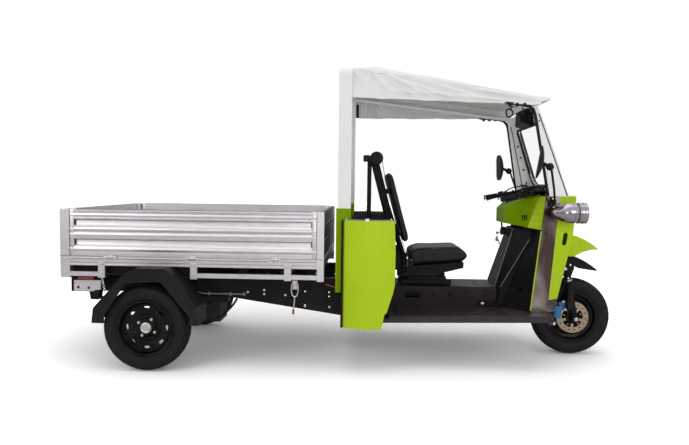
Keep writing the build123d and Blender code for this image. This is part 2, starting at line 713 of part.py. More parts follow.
def rear_axle():
    """A live axle: tubes, a final-drive bowl and a spindle at each end."""
    reach = REAR_TRACK_HALF - 24 - CLEAR
    tubes = across(0, -reach, reach, TYRE_RADIUS, AXLE_TUBE)
    flange = across(0, reach - 12, reach, TYRE_RADIUS, HUB_RADIUS)
    spindles = across(0, -REAR_TRACK_HALF - 20, REAR_TRACK_HALF + 20, TYRE_RADIUS, SPINDLE_RADIUS)
    bowl = Curve() + [
        Line((0, -110, 0), (0, -110, 42)),
        Spline((0, -110, 42), (0, -50, AXLE_BOWL), (0, 50, AXLE_BOWL), (0, 110, 42)),
        Line((0, 110, 42), (0, 110, 0)),
        Line((0, 110, 0), (0, -110, 0)),
    ]
    bowl = Pos(0, 0, TYRE_RADIUS) * revolve(make_face(bowl), axis=Axis.Y)
    return tubes + flange + other_side(flange) + spindles + bowl


def motor_block(axle):
    """The drive motor ahead of the axle, as one plain block."""
    return block(30, 330, -105, 105, 190, 372) - axle


def leaf_springs(axle, frame):
    """Leaf packs from hangers under the beams, clamped on the axle."""
    middle = TYRE_RADIUS + AXLE_TUBE + LEAF_THICKNESS
    eye = 404.0
    y1 = BEAM_OUTER - 5
    y0 = y1 - LEAF_WIDTH
    leaf = None
    for step, share in enumerate((1.0, 0.72, 0.46)):
        half = SPRING_HALF * share
        end = middle + (eye - middle) * share ** 2
        lift = LEAF_THICKNESS * (2 - step)
        top = [(-half, y0, end + lift), (0, y0, middle + lift), (half, y0, end + lift)]
        low = [(x, y, z - LEAF_THICKNESS) for x, y, z in top]
        edge = Curve() + [ThreePointArc(*top), Line(top[2], low[2]), ThreePointArc(low[2], low[1], low[0]),
                          Line(low[0], top[0])]
        piece = extrude(make_face(edge), amount=LEAF_WIDTH, dir=(0, 1, 0))
        leaf = piece if leaf is None else leaf + piece
    clamp = block(-45, 45, y0 - 6, y1 + 6, TYRE_RADIUS - 8, middle + 3 * LEAF_THICKNESS + 8)
    for x in (-SPRING_HALF, SPRING_HALF):
        outline = [(x - 26, eye - 12), (x + 26, eye - 12), (x + 40, 470), (x - 40, 470)]
        hanger = side_plate(outline, y0, y1)
        leaf += hanger + across(x, y0, y1, eye + 12, 20)
    leaf = leaf + clamp - axle - frame
    return both_sides(leaf.solids().sort_by(SortBy.VOLUME)[-1])


def rear_mudguards():
    """Folded black guards over the rear wheels, with a deep outer skirt."""
    outer = [(-307, 309), (-297, 401), (-110, 606), (-36, FRAME_BOTTOM), (147, FRAME_BOTTOM), (192, 612),
             (334, 414), (346, 305)]
    skin = 8.0
    inner_line = inset([(x, z) for x, z in outer], skin)
    cavity = [(inner_line[0][0], 250)] + inner_line + [(inner_line[-1][0], 250)]
    skirt = [(-232, 250), (-232, 354), (-98, 556), (116, 568), (296, 353), (296, 250)]
    edge = GUARD_OUTER - skin
    guard = side_plate(outer, GUARD_INNER, GUARD_OUTER)
    guard -= side_plate(cavity, GUARD_INNER - 1, edge)
    guard -= side_plate(skirt, edge - 1, GUARD_OUTER + 1)
    return both_sides(guard)


# Tray

def hinge_places(start, end, count):
    """Hinge centres, evenly set in from both ends."""
    margin = (end - start) / (2 * count)
    return [start + margin * (2 * index + 1) for index in range(count)]


def side_hinge_fixed(x):
    """The frame's half of a side hinge: two knuckles and the pin."""
    axis_y = TRAY_HALF + HINGE_OFFSET
    half = KNUCKLE_LENGTH / 2
    part = rod((x - 2 * half, axis_y, FRAME_TOP), (x + 2 * half, axis_y, FRAME_TOP), PIN_RADIUS)
    for start in (x - 2 * half, x + half + 1):
        end = start + half - 1
        part += rod((start, axis_y, FRAME_TOP), (end, axis_y, FRAME_TOP), KNUCKLE_RADIUS)
        part += block(start, end, TRAY_HALF - 1, axis_y, FRAME_TOP - 16, FRAME_TOP - 2)
    return part


def side_hinge_moving(x):
    """The gate's half of a side hinge: a strap and a bored knuckle."""
    axis_y = TRAY_HALF + HINGE_OFFSET
    half = KNUCKLE_LENGTH / 2 - 1
    part = rod((x - half, axis_y, FRAME_TOP), (x + half, axis_y, FRAME_TOP), KNUCKLE_RADIUS)
    part += block(x - half, x + half, TRAY_HALF - 1, TRAY_HALF + 5, FRAME_TOP + 6, FRAME_TOP + 70)
    part += block(x - half, x + half, TRAY_HALF + 3, axis_y + 2, FRAME_TOP, FRAME_TOP + 12)
    return part - rod((x - half, axis_y, FRAME_TOP), (x + half, axis_y, FRAME_TOP), PIN_RADIUS + FIT)


def turned_to_rear(part):
    """A hinge drawn for the left side, turned so that it lies on the tray's rear."""
    return Pos(TRAY_REAR + TRAY_HALF, 0, 0) * (Rot(0, 0, 90) * part)


SIDE_GATE_REAR = TRAY_REAR + POST_WIDTH + CLEAR
SIDE_GATE_FRONT = TRAY_FRONT - FRONT_POST - CLEAR
TAIL_HALF = TRAY_HALF - POST_WIDTH - CLEAR
SIDE_HINGES = hinge_places(SIDE_GATE_REAR, SIDE_GATE_FRONT, 3)
TAIL_HINGES = hinge_places(-TAIL_HALF, TAIL_HALF, 2)
GATE_BOTTOM = FRAME_TOP + CLEAR


def planked(length, place):
    """A gate of hollow planks: ribbed outside, with grooves where the planks meet."""
    height = GATE_TOP - GATE_BOTTOM
    plank = height / PLANKS
    outline = [(0, GATE_BOTTOM)]
    for index in range(PLANKS):
        foot = GATE_BOTTOM + plank * index
        outline += [(GATE_THICKNESS, foot + 2), (GATE_THICKNESS, foot + plank * 0.30),
                    (GATE_THICKNESS - 5, foot + plank * 0.36), (GATE_THICKNESS - 5, foot + plank * 0.62),
                    (GATE_THICKNESS, foot + plank * 0.68), (GATE_THICKNESS, foot + plank - 4),
                    (GATE_THICKNESS - 4, foot + plank - 2), (GATE_THICKNESS - 4, foot + plank)]
    outline = outline[:-2] + [(GATE_THICKNESS, GATE_TOP), (0, GATE_TOP)]
    return place * front_plate([(y, z) for y, z in outline], 0, length)


def side_gate():
    """The left drop side with end caps and its hinge straps."""
    length = SIDE_GATE_FRONT - SIDE_GATE_REAR
    gate = planked(length, Pos(SIDE_GATE_REAR, TRAY_HALF - GATE_THICKNESS, 0))
    for x in (SIDE_GATE_REAR, SIDE_GATE_FRONT - 26):
        gate += block(x, x + 26, TRAY_HALF - GATE_THICKNESS, TRAY_HALF, GATE_BOTTOM, GATE_TOP)
    for x in SIDE_HINGES:
        gate += side_hinge_moving(x)
    return gate


def tailgate():
    """The rear drop gate."""
    gate = planked(2 * TAIL_HALF, Pos(-TAIL_HALF, TRAY_HALF - GATE_THICKNESS, 0))
    for x in (-TAIL_HALF, TAIL_HALF - 26):
        gate += block(x, x + 26, TRAY_HALF - GATE_THICKNESS, TRAY_HALF, GATE_BOTTOM, GATE_TOP)
    for x in TAIL_HINGES:
        gate += side_hinge_moving(x)
    return turned_to_rear(gate)


def tray_frame():
    """The floor frame: rails round the edge, bearers across and the fixed hinge halves."""
    inner = TRAY_HALF - FRAME_RAIL
    rail = block(TRAY_REAR + POST_WIDTH, TRAY_FRONT - FRONT_POST, inner, TRAY_HALF, FRAME_BOTTOM, FRAME_TOP)
    for x in SIDE_HINGES:
        rail += side_hinge_fixed(x)
    frame = rail + other_side(rail)
    post_inner = TRAY_HALF - POST_WIDTH
    frame += block(TRAY_REAR, TRAY_REAR + FRAME_RAIL, -post_inner, post_inner, FRAME_BOTTOM, FRAME_TOP)
    frame += block(TRAY_FRONT - FRAME_RAIL, TRAY_FRONT, -post_inner, post_inner, FRAME_BOTTOM, FRAME_TOP)
    for x in TAIL_HINGES:
        frame += turned_to_rear(side_hinge_fixed(x))
    deck_low = DECK_TOP - DECK_THICKNESS
    for x in STAND_OFFS:
        frame += block(x - 25, x + 25, -inner, inner, FRAME_BOTTOM, deck_low)
    for y in (-230, 230):
        frame += block(TRAY_REAR + FRAME_RAIL, TRAY_FRONT - FRAME_RAIL, y - 20, y + 20,
                       FRAME_BOTTOM + 6, deck_low)
    return frame


def tray_deck():
    """The floor sheet inside the gates."""
    half = TRAY_HALF - FRAME_RAIL
    rear = TRAY_REAR + POST_WIDTH
    front = TRAY_FRONT - FRAME_RAIL
    return block(rear, front, -half, half, DECK_TOP - DECK_THICKNESS, DECK_TOP)


def headboard():
    """The fixed front board between the front posts, with two stiffening ribs ahead."""
    half = TRAY_HALF - POST_WIDTH
    board = block(TRAY_FRONT - 34, TRAY_FRONT - 10, -half, half, FRAME_TOP, GATE_TOP)
    for z in (FRAME_TOP + 90, FRAME_TOP + 190):
        board += block(TRAY_FRONT - 10.5, TRAY_FRONT - 2, -half, half, z, z + 22)
    return board


def tray_posts():
    """Corner posts, and the lashing rails below the tray with their brackets."""
    inner = TRAY_HALF - POST_WIDTH
    tie_inner = TRAY_HALF - TIE_DEPTH
    tie_top = TIE_BOTTOM + TIE_HEIGHT
    rear_edge = TRAY_REAR + POST_WIDTH
    front_edge = TRAY_FRONT - FRONT_POST
    rear = block(TRAY_REAR, rear_edge, inner, TRAY_HALF, POST_BOTTOM, GATE_TOP)
    front = block(front_edge, TRAY_FRONT, inner, TRAY_HALF, POST_BOTTOM, GATE_TOP)
    rear += block(rear_edge - 1, BRACKETS[0] + 21, tie_inner, TRAY_HALF, TIE_BOTTOM, tie_top)
    front += block(BRACKETS[1] - 21, front_edge + 1, tie_inner, TRAY_HALF, TIE_BOTTOM, tie_top)
    for index, x in enumerate(BRACKETS):
        bracket = block(x - 21, x + 21, tie_inner, TRAY_HALF, TIE_BOTTOM - 8, FRAME_BOTTOM)
        bracket += block(x - 21, x + 21, TRAY_HALF, TRAY_HALF + 3, TIE_BOTTOM - 8, FRAME_BOTTOM + 20)
        if index == 0:
            rear += bracket
        else:
            front += bracket
    return both_sides(rear) + both_sides(front)


def rear_lamp_bar():
    """A bar under the tray's rear with a bracket plate at each end."""
    bar = block(-520, -490, -520, 520, 546, 564)
    bar += block(-520, -490, -370, -330, 563, FRAME_BOTTOM) + block(-520, -490, 330, 370, 563, FRAME_BOTTOM)
    side = block(-520, -356, 512, 520, 468, 564)
    for x in (-481, -416):
        side -= across(x, 500, 530, 491, 6)
    return bar + side + other_side(side)


def rear_lamps():
    """Red lenses: one on each side plate and one at each end of the bar's rear."""
    side = block(-476, -390, 520, 526, 546, 564)
    rear = block(-526, -520, 400, 500, 547, 563)
    return both_sides(side) + both_sides(rear)


# Hoop, side panels, canopy and windscreen

def hoop():
    """The cab's rear hoop as one ring-shaped outline, split by colour further down."""
    width = 2 * HOOP_HALF
    height = HOOP_TOP - HOOP_BOTTOM
    plane = Plane(origin=(HOOP_REAR, 0, HOOP_BOTTOM + height / 2), x_dir=(0, 1, 0), z_dir=(1, 0, 0))
    outer = extrude(plane * Rectangle(width, height), amount=HOOP_FRONT - HOOP_REAR)
    outer = fillet(outer.edges().filter_by(Axis.X).group_by(Axis.Z)[-1], 46)
    opening = block(HOOP_REAR - 1, HOOP_FRONT + 1, HOOP_WIDTH - HOOP_HALF, HOOP_HALF - HOOP_WIDTH,
                    HOOP_BOTTOM - 1, HOOP_TOP - HOOP_WIDTH)
    return outer - opening


def hoop_upper(ring):
    return ring & block(HOOP_REAR, HOOP_FRONT, -HOOP_HALF, HOOP_HALF, HOOP_SPLIT, HOOP_TOP)


def hoop_lower(ring):
    """The painted feet, with a cover up their rear side."""
    inner = HOOP_HALF - HOOP_WIDTH
    feet = ring & block(HOOP_REAR, HOOP_FRONT, -HOOP_HALF, HOOP_HALF, HOOP_BOTTOM, HOOP_SPLIT)
    cover = block(HOOP_REAR - SLEEVE, HOOP_REAR, inner, HOOP_HALF, HOOP_BOTTOM, HOOP_SPLIT)
    return feet + cover + other_side(cover)


def side_panels():
    """Bowed outer panels beside the box, cut back at the lower front."""
    start, middle, end = (1213, 575.0), (1372, 634.0), (1532, 602.0)
    outer = ThreePointArc((*start, 0), (*middle, 0), (*end, 0))
    inner = ThreePointArc((end[0], end[1] - PANEL_SKIN, 0), (middle[0], middle[1] - PANEL_SKIN, 0),
                          (start[0], start[1] - PANEL_SKIN, 0))
    plan = Curve() + [outer, Line(outer @ 1, inner @ 0), inner, Line(inner @ 1, outer @ 0)]
    bow = Pos(0, 0, 200) * extrude(make_face(plan), amount=900, dir=(0, 0, 1))
    outline = [(1200, PANEL_BOTTOM), (1451, PANEL_BOTTOM + 4), (1470, 382), (1483, 388), (1503, 455),
               (1520, 506), (1531, 556), (1533, 760), (1524, PANEL_TOP), (1200, PANEL_TOP)]
    return both_sides(bow & side_plate(outline, 500, 700))


def battery_box(panels):
    """The closed box behind the driver, with a lid out to the side panels."""
    body = side_plate([(CAB_REAR, floor_top(CAB_REAR)), (BOX_FRONT, floor_top(BOX_FRONT)),
                       (BOX_FRONT, BOX_TOP - LID_THICKNESS), (CAB_REAR, BOX_TOP - LID_THICKNESS)],
                      -BOX_HALF, BOX_HALF)
    lid = block(CAB_REAR, BOX_FRONT + 14, -612, 612, BOX_TOP - LID_THICKNESS, BOX_TOP)
    plan = [(CAB_REAR, -580), (1372, -622), (1532, -596), (1532, 596), (1372, 622), (CAB_REAR, 580)]
    lid &= plan_plate(plan, BOX_TOP - LID_THICKNESS, BOX_TOP)
    box = body + lid
    for panel in panels:
        box -= panel
    return box.solids().sort_by(SortBy.VOLUME)[-1]


def canopy_section(x, low_half, low, high_half, high, crown):
    """One arched outline of the canopy, as a closed band of constant thickness."""
    outer = [(-low_half, low), (-high_half, high), (-high_half * 0.93, high + 17), (0, crown),
             (high_half * 0.93, high + 17), (high_half, high), (low_half, low)]
    inner = inset(outer, CANOPY_SKIN)
    return make_face(Polyline(*[(x, y, z) for y, z in outer + inner[::-1]], close=True))


def canopy():
    """The fabric roof: deep sides at the hoop, running out to a pointed front."""
    sections = [
        canopy_section(HOOP_FRONT, 552, HOOP_TOP - 181, 538, HOOP_TOP - 11, HOOP_TOP + 13),
        canopy_section(1354, 546, HOOP_TOP - 183, 530, HOOP_TOP - 7, HOOP_TOP + 19),
        canopy_section(WHEELBASE - 387, 402, SCREEN_TOP - 4, 388, SCREEN_TOP + 36, SCREEN_TOP + 80),
        canopy_section(WHEELBASE - 190, 374, SCREEN_TOP + 12, 366, SCREEN_TOP + 24, SCREEN_TOP + 64),
    ]
    roof = loft(sections, ruled=True)
    side = WHEELBASE - 354
    tip = WHEELBASE - 222
    front = Curve() + [
        Line((1200, -700, 1600), (side, -700, 1600)),
        Line((side, -700, 1600), (side, -396, 1600)),
        ThreePointArc((side, -396, 1600), (tip, 0, 1600), (side, 396, 1600)),
        Line((side, 396, 1600), (side, 700, 1600)),
        Line((side, 700, 1600), (1200, 700, 1600)),
        Line((1200, 700, 1600), (1200, -700, 1600)),
    ]
    return roof & extrude(make_face(front), amount=400, dir=(0, 0, 1))


SCREEN = Plane(
    origin=(SCREEN_X, 0, NOSE_TOP),
    x_dir=(0, 1, 0),
    z_dir=(cos(radians(SCREEN_LEAN)), 0, sin(radians(SCREEN_LEAN))))


def screen_outline(low_half, high_half, start, end):
    """A tapered outline in the windscreen's plane."""
    return [(-low_half, start), (low_half, start), (high_half, end), (-high_half, end)]


def window_face():
    share = (SCREEN_LOW_HALF - SCREEN_HIGH_HALF) / SCREEN_LENGTH
    start, end, border = 52.0, 506.0, 26.0
    low_half = SCREEN_LOW_HALF - share * start - border
    high_half = SCREEN_LOW_HALF - share * end - border
    points = screen_outline(low_half, high_half, start, end)
    window = make_face(Polyline(*points, close=True))
    return fillet(window.vertices(), 46)


def windscreen_frame():
    """The raked screen frame with a sheet post each side and the canopy's side bars."""
    points = screen_outline(SCREEN_LOW_HALF, SCREEN_HIGH_HALF, 0, SCREEN_LENGTH)
    frame = extrude(SCREEN * make_face(Polyline(*points, close=True)), amount=-SCREEN_SKIN)
    frame -= extrude(SCREEN * window_face(), amount=-SCREEN_SKIN)
    frame = frame & block(WHEELBASE - 494, WHEELBASE + 6, -500, 500, NOSE_TOP, 1800)
    top = SCREEN_TOP - 7
    lean = tan(radians(SCREEN_LEAN))
    faces = []
    for z, rear_x, rear_y, front_y in ((NOSE_TOP, WHEELBASE - 290, -389, SCREEN_LOW_HALF),
                                       (top, WHEELBASE - 390, -364, SCREEN_HIGH_HALF)):
        front_x = SCREEN_X - (z - NOSE_TOP) * lean
        outer = [(rear_x, rear_y), (front_x - 12, -front_y - 1), (front_x - 12, -front_y + POST_SHEET),
                 (rear_x, rear_y + POST_SHEET)]
        faces.append(make_face(Polyline(*[(x, y, z) for x, y in outer], close=True)))
    post = loft(faces, ruled=True)
    bar = rod((HOOP_FRONT - 20, -508, 1838), (WHEELBASE - 382, -352, 1672), 12)
    bar &= block(HOOP_FRONT, WHEELBASE - 294, -600, 0, 1500, 1900)
    side = post + bar
    return frame + side + other_side(side)


def windscreen_glass():
    inner = SCREEN.offset(-7)
    return extrude(inner * window_face(), amount=-6)


def wiper_motor():
    """The wiper motor's cover, hung behind the screen's header, reaching to the right."""
    outline = [(-402, 1590), (-354, 1574), (-324, 1600), (-342, 1690), (-398, 1690)]
    cover = side_plate([(WHEELBASE + x, z) for x, z in outline], -180, 56)
    cover = fillet(cover.edges().filter_by(Axis.Y), 8)
    return cover - windscreen_frame()


def mirror_right(core, tilt, yaw):
    """A stalk from the nose's side, a ball joint and a domed head."""
    line = [(-266, -404, 1064), (-266, -440, 1092), (-282, -470, 1160), (-316, -512, 1284)]
    post = bent_tube([(WHEELBASE + x, y, z) for x, y, z in line], 16, 7)
    clip = block(WHEELBASE - 282, WHEELBASE - 250, -408, -376, 1046, 1082) - core
    joint = (WHEELBASE - 326, -516, 1292)
    arm = rod(joint, (WHEELBASE - 386, -537, 1317), 11)
    dome = 234.0
    head = Box(60, 122, 198)
    head = fillet(head.edges().filter_by(Axis.X), 44)
    head &= block(-10, 60, -80, 80, -120, 120)
    head &= Pos(20 - dome, 0, 0) * Sphere(dome)
    head = Pos(WHEELBASE - 392, -538, 1318) * Rot(0, tilt, 0) * Rot(0, 0, yaw) * head
    return post + clip + Pos(*joint) * Sphere(24) + arm + head


def mirrors(core):
    """The two mirrors, each set to its own angle."""
    return [mirror_right(core, 9, -13), other_side(mirror_right(core, -2, -4))]


# Seat and belt frame

def cushion_low(x):
    """The seat pan rises towards the front."""
    return 623 + (x - 1642) * 0.087


def seat_base():
    """A folded pan on a sliding pedestal."""
    outline = [(1563, 560), (1563, cushion_low(1563)), (2010, cushion_low(2010)), (2010, 618), (1860, 580),
               (1830, 560)]
    pan = side_plate(outline, -SEAT_BASE_HALF, SEAT_BASE_HALF)
    below = [(1500, 500), (1500, cushion_low(1500) - SHEET), (2050, cushion_low(2050) - SHEET), (2050, 500)]
    pan -= side_plate(below, SHEET - SEAT_BASE_HALF, SEAT_BASE_HALF - SHEET)
    ear = side_plate([(1545, 598), (1545, 724), (1612, 724), (1628, 705), (1628, 598)],
                     SEAT_BASE_HALF - SHEET, SEAT_BASE_HALF)
    pan = pan + ear + other_side(ear)
    pedestal = side_plate([(1590, TUNNEL_TOP), (1940, TUNNEL_TOP), (1876, 572),
                           (1876, cushion_low(1876) - 3),
                           (1590, cushion_low(1590) - 3)], -130, 130)
    hollow = side_plate([(1610, TUNNEL_TOP - 1), (1900, TUNNEL_TOP - 1), (1856, 540), (1610, 540)],
                        -110, 110)
    return pan + (pedestal - hollow)


def seat_cushion():
    outline = [(1632, 722), (1652, cushion_low(1652) + FIT), (2034, cushion_low(2034) + FIT), (2062, 682),
               (2056, 724), (2000, 754)]
    pad = side_plate(outline, -CUSHION_HALF, CUSHION_HALF)
    return fillet(pad.edges().filter_by(Axis.Y), 10)


def back_rear(z):
    """The rear face of the back pad."""
    return 1614 - (z - 761) * 0.2955


def seat_back():
    """The back pad, leaning back on the belt frame's straps."""
    outline = [(back_rear(1255), 1255), (1505, 1269), (1525, 1243), (1654, 782), (back_rear(761), 761)]
    pad = side_plate(outline, -BACK_HALF, BACK_HALF)
    return fillet(pad.edges().filter_by(Axis.Y), 9)


def belt_frame(box):
    """Posts and braces behind the seat, with the belt reel at the top of the right side."""
    apex = (1412, -BELT_HALF, 1340)
    side = rod((1368, -BELT_HALF, BOX_TOP), (1368, -BELT_HALF, 1340), BELT_TUBE)
    side += rod((1368, -BELT_HALF, 1330), apex, BELT_TUBE)
    side += rod((1392, -BELT_HALF, 1340), (1496, -BELT_HALF, BOX_TOP), BELT_TUBE)
    side += bent_tube([(1412, -BELT_HALF, 1340), (1490, -BELT_HALF, 1040), (1606, -BELT_HALF, 700),
                       (1606, -BELT_HALF, 580)], 80, BELT_TUBE)
    foot = block(1590, 1622, -BELT_HALF - 6, -SEAT_BASE_HALF, 572, 606)
    side += foot
    side -= box
    bar = across(1368, -BELT_HALF, BELT_HALF, 1320, BELT_TUBE - 2)
    for low in (850, 1110):
        high = low + 32
        outline = [(back_rear(low) - FIT, low), (back_rear(high) - FIT, high), (back_rear(high) - 32, high),
                   (back_rear(low) - 32, low)]
        bar += side_plate(outline, -BELT_HALF, BELT_HALF)
    reel = across(1414, -BELT_HALF - 22, -BELT_HALF + 22, 1346, 44)
    return side + other_side(side) + bar + reel


def brake_pedal():
    """A pedal arm pivoted on the tunnel's right side."""
    pivot = WHEELBASE - 653
    z = floor_top(pivot) + 26
    line = [(-13, 14), (9, 16), (91, 8), (121, 32), (129, 26), (105, -8), (9, -14), (-13, -10)]
    arm = side_plate([(pivot + x, z + up) for x, up in line], -214, -204)
    foot = [(87, 4), (121, 36), (129, 28), (95, -4)]
    pad = side_plate([(pivot + x, z + up) for x, up in foot], -256, -204)
    return arm + pad + across(pivot, -218, -TUNNEL_HALF, z, 13)


def save(name, shapes):
    """Writes one piece, moved so that X = 0 is the middle of the vehicle's length."""
    solids = [Pos(-MIDDLE_X, 0, 0) * solid for solid in as_solids(shapes)]
    shape = solids[0] if len(solids) == 1 else Compound(children=solids)
    export_step(shape, f"parts/{name}.step")


REAR_END = TRAY_REAR - HINGE_OFFSET - KNUCKLE_RADIUS
FRONT_END = WHEELBASE + TYRE_RADIUS
MIDDLE_X = (REAR_END + FRONT_END) / 2


def build():
    os.makedirs("parts", exist_ok=True)
    core = nose_core()
    frame = chassis_frame()
    axle = rear_axle()
    fork_shape = fork()
    bar = handlebar()
    panels = side_panels()
    box = battery_box(panels)
    ring = hoop()
    trims = [strip + foot for strip, foot in zip(nose_trims(), both_sides(nose_foot()))]
    boards = running_boards()
    room = column_room()
    gate = side_gate()
    rear_tyre = REAR_WHEEL * tyre()
    rear_wheel = REAR_WHEEL * rear_rim()
    pieces = {
        "chassis_frame": frame,
        "rear_axle": axle,
        "motor_block": motor_block(axle),
        "leaf_springs": leaf_springs(axle, frame),
        "rear_mudguards": rear_mudguards(),
        "tray_frame": tray_frame(),
        "tray_deck": tray_deck(),
        "tray_headboard": headboard(),
        "tray_posts": tray_posts(),
        "rear_lamp_bar": rear_lamp_bar(),
        "rear_lamps": rear_lamps(),
        "side_gate_left": gate,
        "side_gate_right": other_side(gate),
        "tailgate": tailgate(),
        "floor_tunnel": floor_tunnel(),
        "running_boards": boards,
        "leg_shield": leg_shield(trims, boards, room),
        "steering_head": steering_head(room),
        "dash_fairing": dash_fairing(trims),
        "nose_shell": nose_shell(),
        "nose_trims": trims,
        "nose_beak": nose_beak(core),
        "headlamp_pods": headlamp_pods(core),
        "headlamp_lenses": headlamp_lenses(),
        "hoop_upper": hoop_upper(ring),
        "hoop_lower": hoop_lower(ring),
        "side_panels": panels,
        "battery_box": box,
        "canopy": canopy(),
        "windscreen_frame": windscreen_frame(),
        "windscreen_glass": windscreen_glass(),
        "wiper_motor": wiper_motor(),
        "mirrors": mirrors(core),
        "seat_base": seat_base(),
        "seat_cushion": seat_cushion(),
        "seat_back": seat_back(),
        "belt_frame": belt_frame(box),
        "brake_pedal": brake_pedal(),
        "fork": fork_shape,
        "fork_springs": fork_springs(),
        "handlebar": bar - fork_shape,
        "grips": grips(bar),
        "instrument_cluster": instrument_cluster(bar),
        "front_mudguard": front_mudguard(fork_shape),
        "brake_caliper": brake_caliper(fork_shape),
        "front_tyre": FRONT_WHEEL * tyre(),
        "front_rim": FRONT_WHEEL * front_rim(),
        "brake_disc": FRONT_WHEEL * brake_disc(),
        "rear_tyre_left": rear_tyre,
        "rear_rim_left": rear_wheel,
        "rear_tyre_right": other_side(rear_tyre),
        "rear_rim_right": other_side(rear_wheel),
    }
    for name, shapes in pieces.items():
        save(name, shapes)


build()
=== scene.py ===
"""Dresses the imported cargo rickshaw: finishes for its CAD nodes, soft goods and fittings."""
from math import atan2, cos, pi, radians, sin

import bmesh
import bpy
from mathutils import Matrix, Vector


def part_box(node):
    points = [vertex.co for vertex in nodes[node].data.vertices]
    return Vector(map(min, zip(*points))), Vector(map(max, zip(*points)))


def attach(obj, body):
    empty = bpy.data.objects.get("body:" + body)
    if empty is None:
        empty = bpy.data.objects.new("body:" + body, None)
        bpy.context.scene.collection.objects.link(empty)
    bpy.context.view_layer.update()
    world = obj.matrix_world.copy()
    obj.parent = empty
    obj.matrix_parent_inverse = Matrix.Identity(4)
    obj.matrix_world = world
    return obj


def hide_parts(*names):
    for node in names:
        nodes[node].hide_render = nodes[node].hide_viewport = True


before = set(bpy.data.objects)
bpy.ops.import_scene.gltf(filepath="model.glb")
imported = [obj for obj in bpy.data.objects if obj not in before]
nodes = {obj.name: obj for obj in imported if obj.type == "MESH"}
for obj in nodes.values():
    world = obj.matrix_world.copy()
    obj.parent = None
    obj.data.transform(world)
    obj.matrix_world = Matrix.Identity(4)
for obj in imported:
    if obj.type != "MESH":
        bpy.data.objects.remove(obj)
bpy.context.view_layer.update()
bpy.ops.object.select_all(action="DESELECT")

# Places are written in metres from the rear axle, and moved to the frame's own origin
REAR_AXLE_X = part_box("rear_axle")[0].x / 2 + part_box("rear_axle")[1].x / 2
WHEEL_CENTRE_Z = 0.268
WHEELBASE = 2.794
REAR_TRACK_HALF = 0.592


def spot(x, y, z):
    return Vector((x + REAR_AXLE_X, y, z))


# Finishes

def finish_start(name, colour, metallic=0.0, roughness=0.5, **sockets):
    """A material with its shader and object coordinates."""
    mat = bpy.data.materials.new(name)
    mat.use_nodes = True
    shader = mat.node_tree.nodes["Principled BSDF"]
    shader.inputs["Base Color"].default_value = (*colour, 1)
    shader.inputs["Metallic"].default_value = metallic
    shader.inputs["Roughness"].default_value = roughness
    for socket, value in sockets.items():
        shader.inputs[socket.replace("_", " ")].default_value = value
    coords = mat.node_tree.nodes.new("ShaderNodeTexCoord")
    return mat, shader, coords.outputs["Object"]


def node_in(kind, links, **settings):
    """Adds a node beside the linked sources, and sets its fields and sockets."""
    tree = links[0][1].id_data
    node = tree.nodes.new(kind)
    for key, value in settings.items():
        if hasattr(node, key):
            setattr(node, key, value)
        else:
            node.inputs[key.replace("_", " ")].default_value = value
    for socket, source in links:
        tree.links.new(source, node.inputs[socket])
    return node


def grain(coords, scale, stretch=(1, 1, 1), detail=4.0, rough=0.55):
    """Noise, drawn out along the axes whose stretch is small."""
    vector = node_in("ShaderNodeMapping", [("Vector", coords)], Scale=stretch).outputs["Vector"]
    return node_in(
        "ShaderNodeTexNoise", [("Vector", vector)], Scale=scale, Detail=detail,
        Roughness=rough).outputs["Fac"]


def between(value, low, high, out_low, out_high):
    """Maps a pattern's range to an output range, clamped."""
    return node_in(
        "ShaderNodeMapRange", [("Value", value)], From_Min=low, From_Max=high, To_Min=out_low,
        To_Max=out_high).outputs["Result"]


def times(first, second):
    return node_in("ShaderNodeMath", [(0, first), (1, second)], operation="MULTIPLY").outputs["Value"]


def mixed(factor, first, second):
    """Mixes two colours, each a tuple or a socket."""
    node = node_in("ShaderNodeMix", [(0, factor)], data_type="RGBA")
    for socket, colour in ((node.inputs[6], first), (node.inputs[7], second)):
        if isinstance(colour, tuple):
            socket.default_value = (*colour, 1)
        else:
            factor.id_data.links.new(colour, socket)
    return node.outputs[2]


def feed(shader, socket, source):
    source.id_data.links.new(source, shader.inputs[socket])


def relief(shader, height, strength, distance):
    """A bump, laid over any bump the shader already has."""
    node = node_in("ShaderNodeBump", [("Height", height)], Strength=strength, Distance=distance)
    before = shader.inputs["Normal"].links
    if before:
        feed(node, "Normal", before[0].from_socket)
    feed(shader, "Normal", node.outputs["Normal"])


def dust_on(coords, colour, dust, top, amount):
    """Road dust that fades out upwards, in patches."""
    height = node_in("ShaderNodeSeparateXYZ", [("Vector", coords)]).outputs["Z"]
    low = between(height, 0.0, top, amount, 0.0)
    patch = between(grain(coords, 9, detail=6), 0.35, 0.7, 0.0, 1.0)
    return mixed(times(low, patch), colour, dust)


ROAD_DUST = (0.12, 0.1, 0.085)


def enamel(name, colour, shade, gloss=0.28, shine=0.22):
    """Sprayed paint: faint orange peel, a little tone variation, dust low down."""
    mat, shader, coords = finish_start(name, colour, 0.0, gloss, Specular_IOR_Level=shine)
    tone = between(grain(coords, 3.2, detail=3), 0.3, 0.7, 0.0, 1.0)
    base = mixed(tone, colour, shade)
    feed(shader, "Base Color", dust_on(coords, base, ROAD_DUST, 0.45, 0.06))
    feed(shader, "Roughness", between(grain(coords, 40, detail=5), 0.3, 0.75, gloss - 0.05, gloss + 0.1))
    relief(shader, grain(coords, 160, detail=2), 0.03, 0.0004)
    return mat


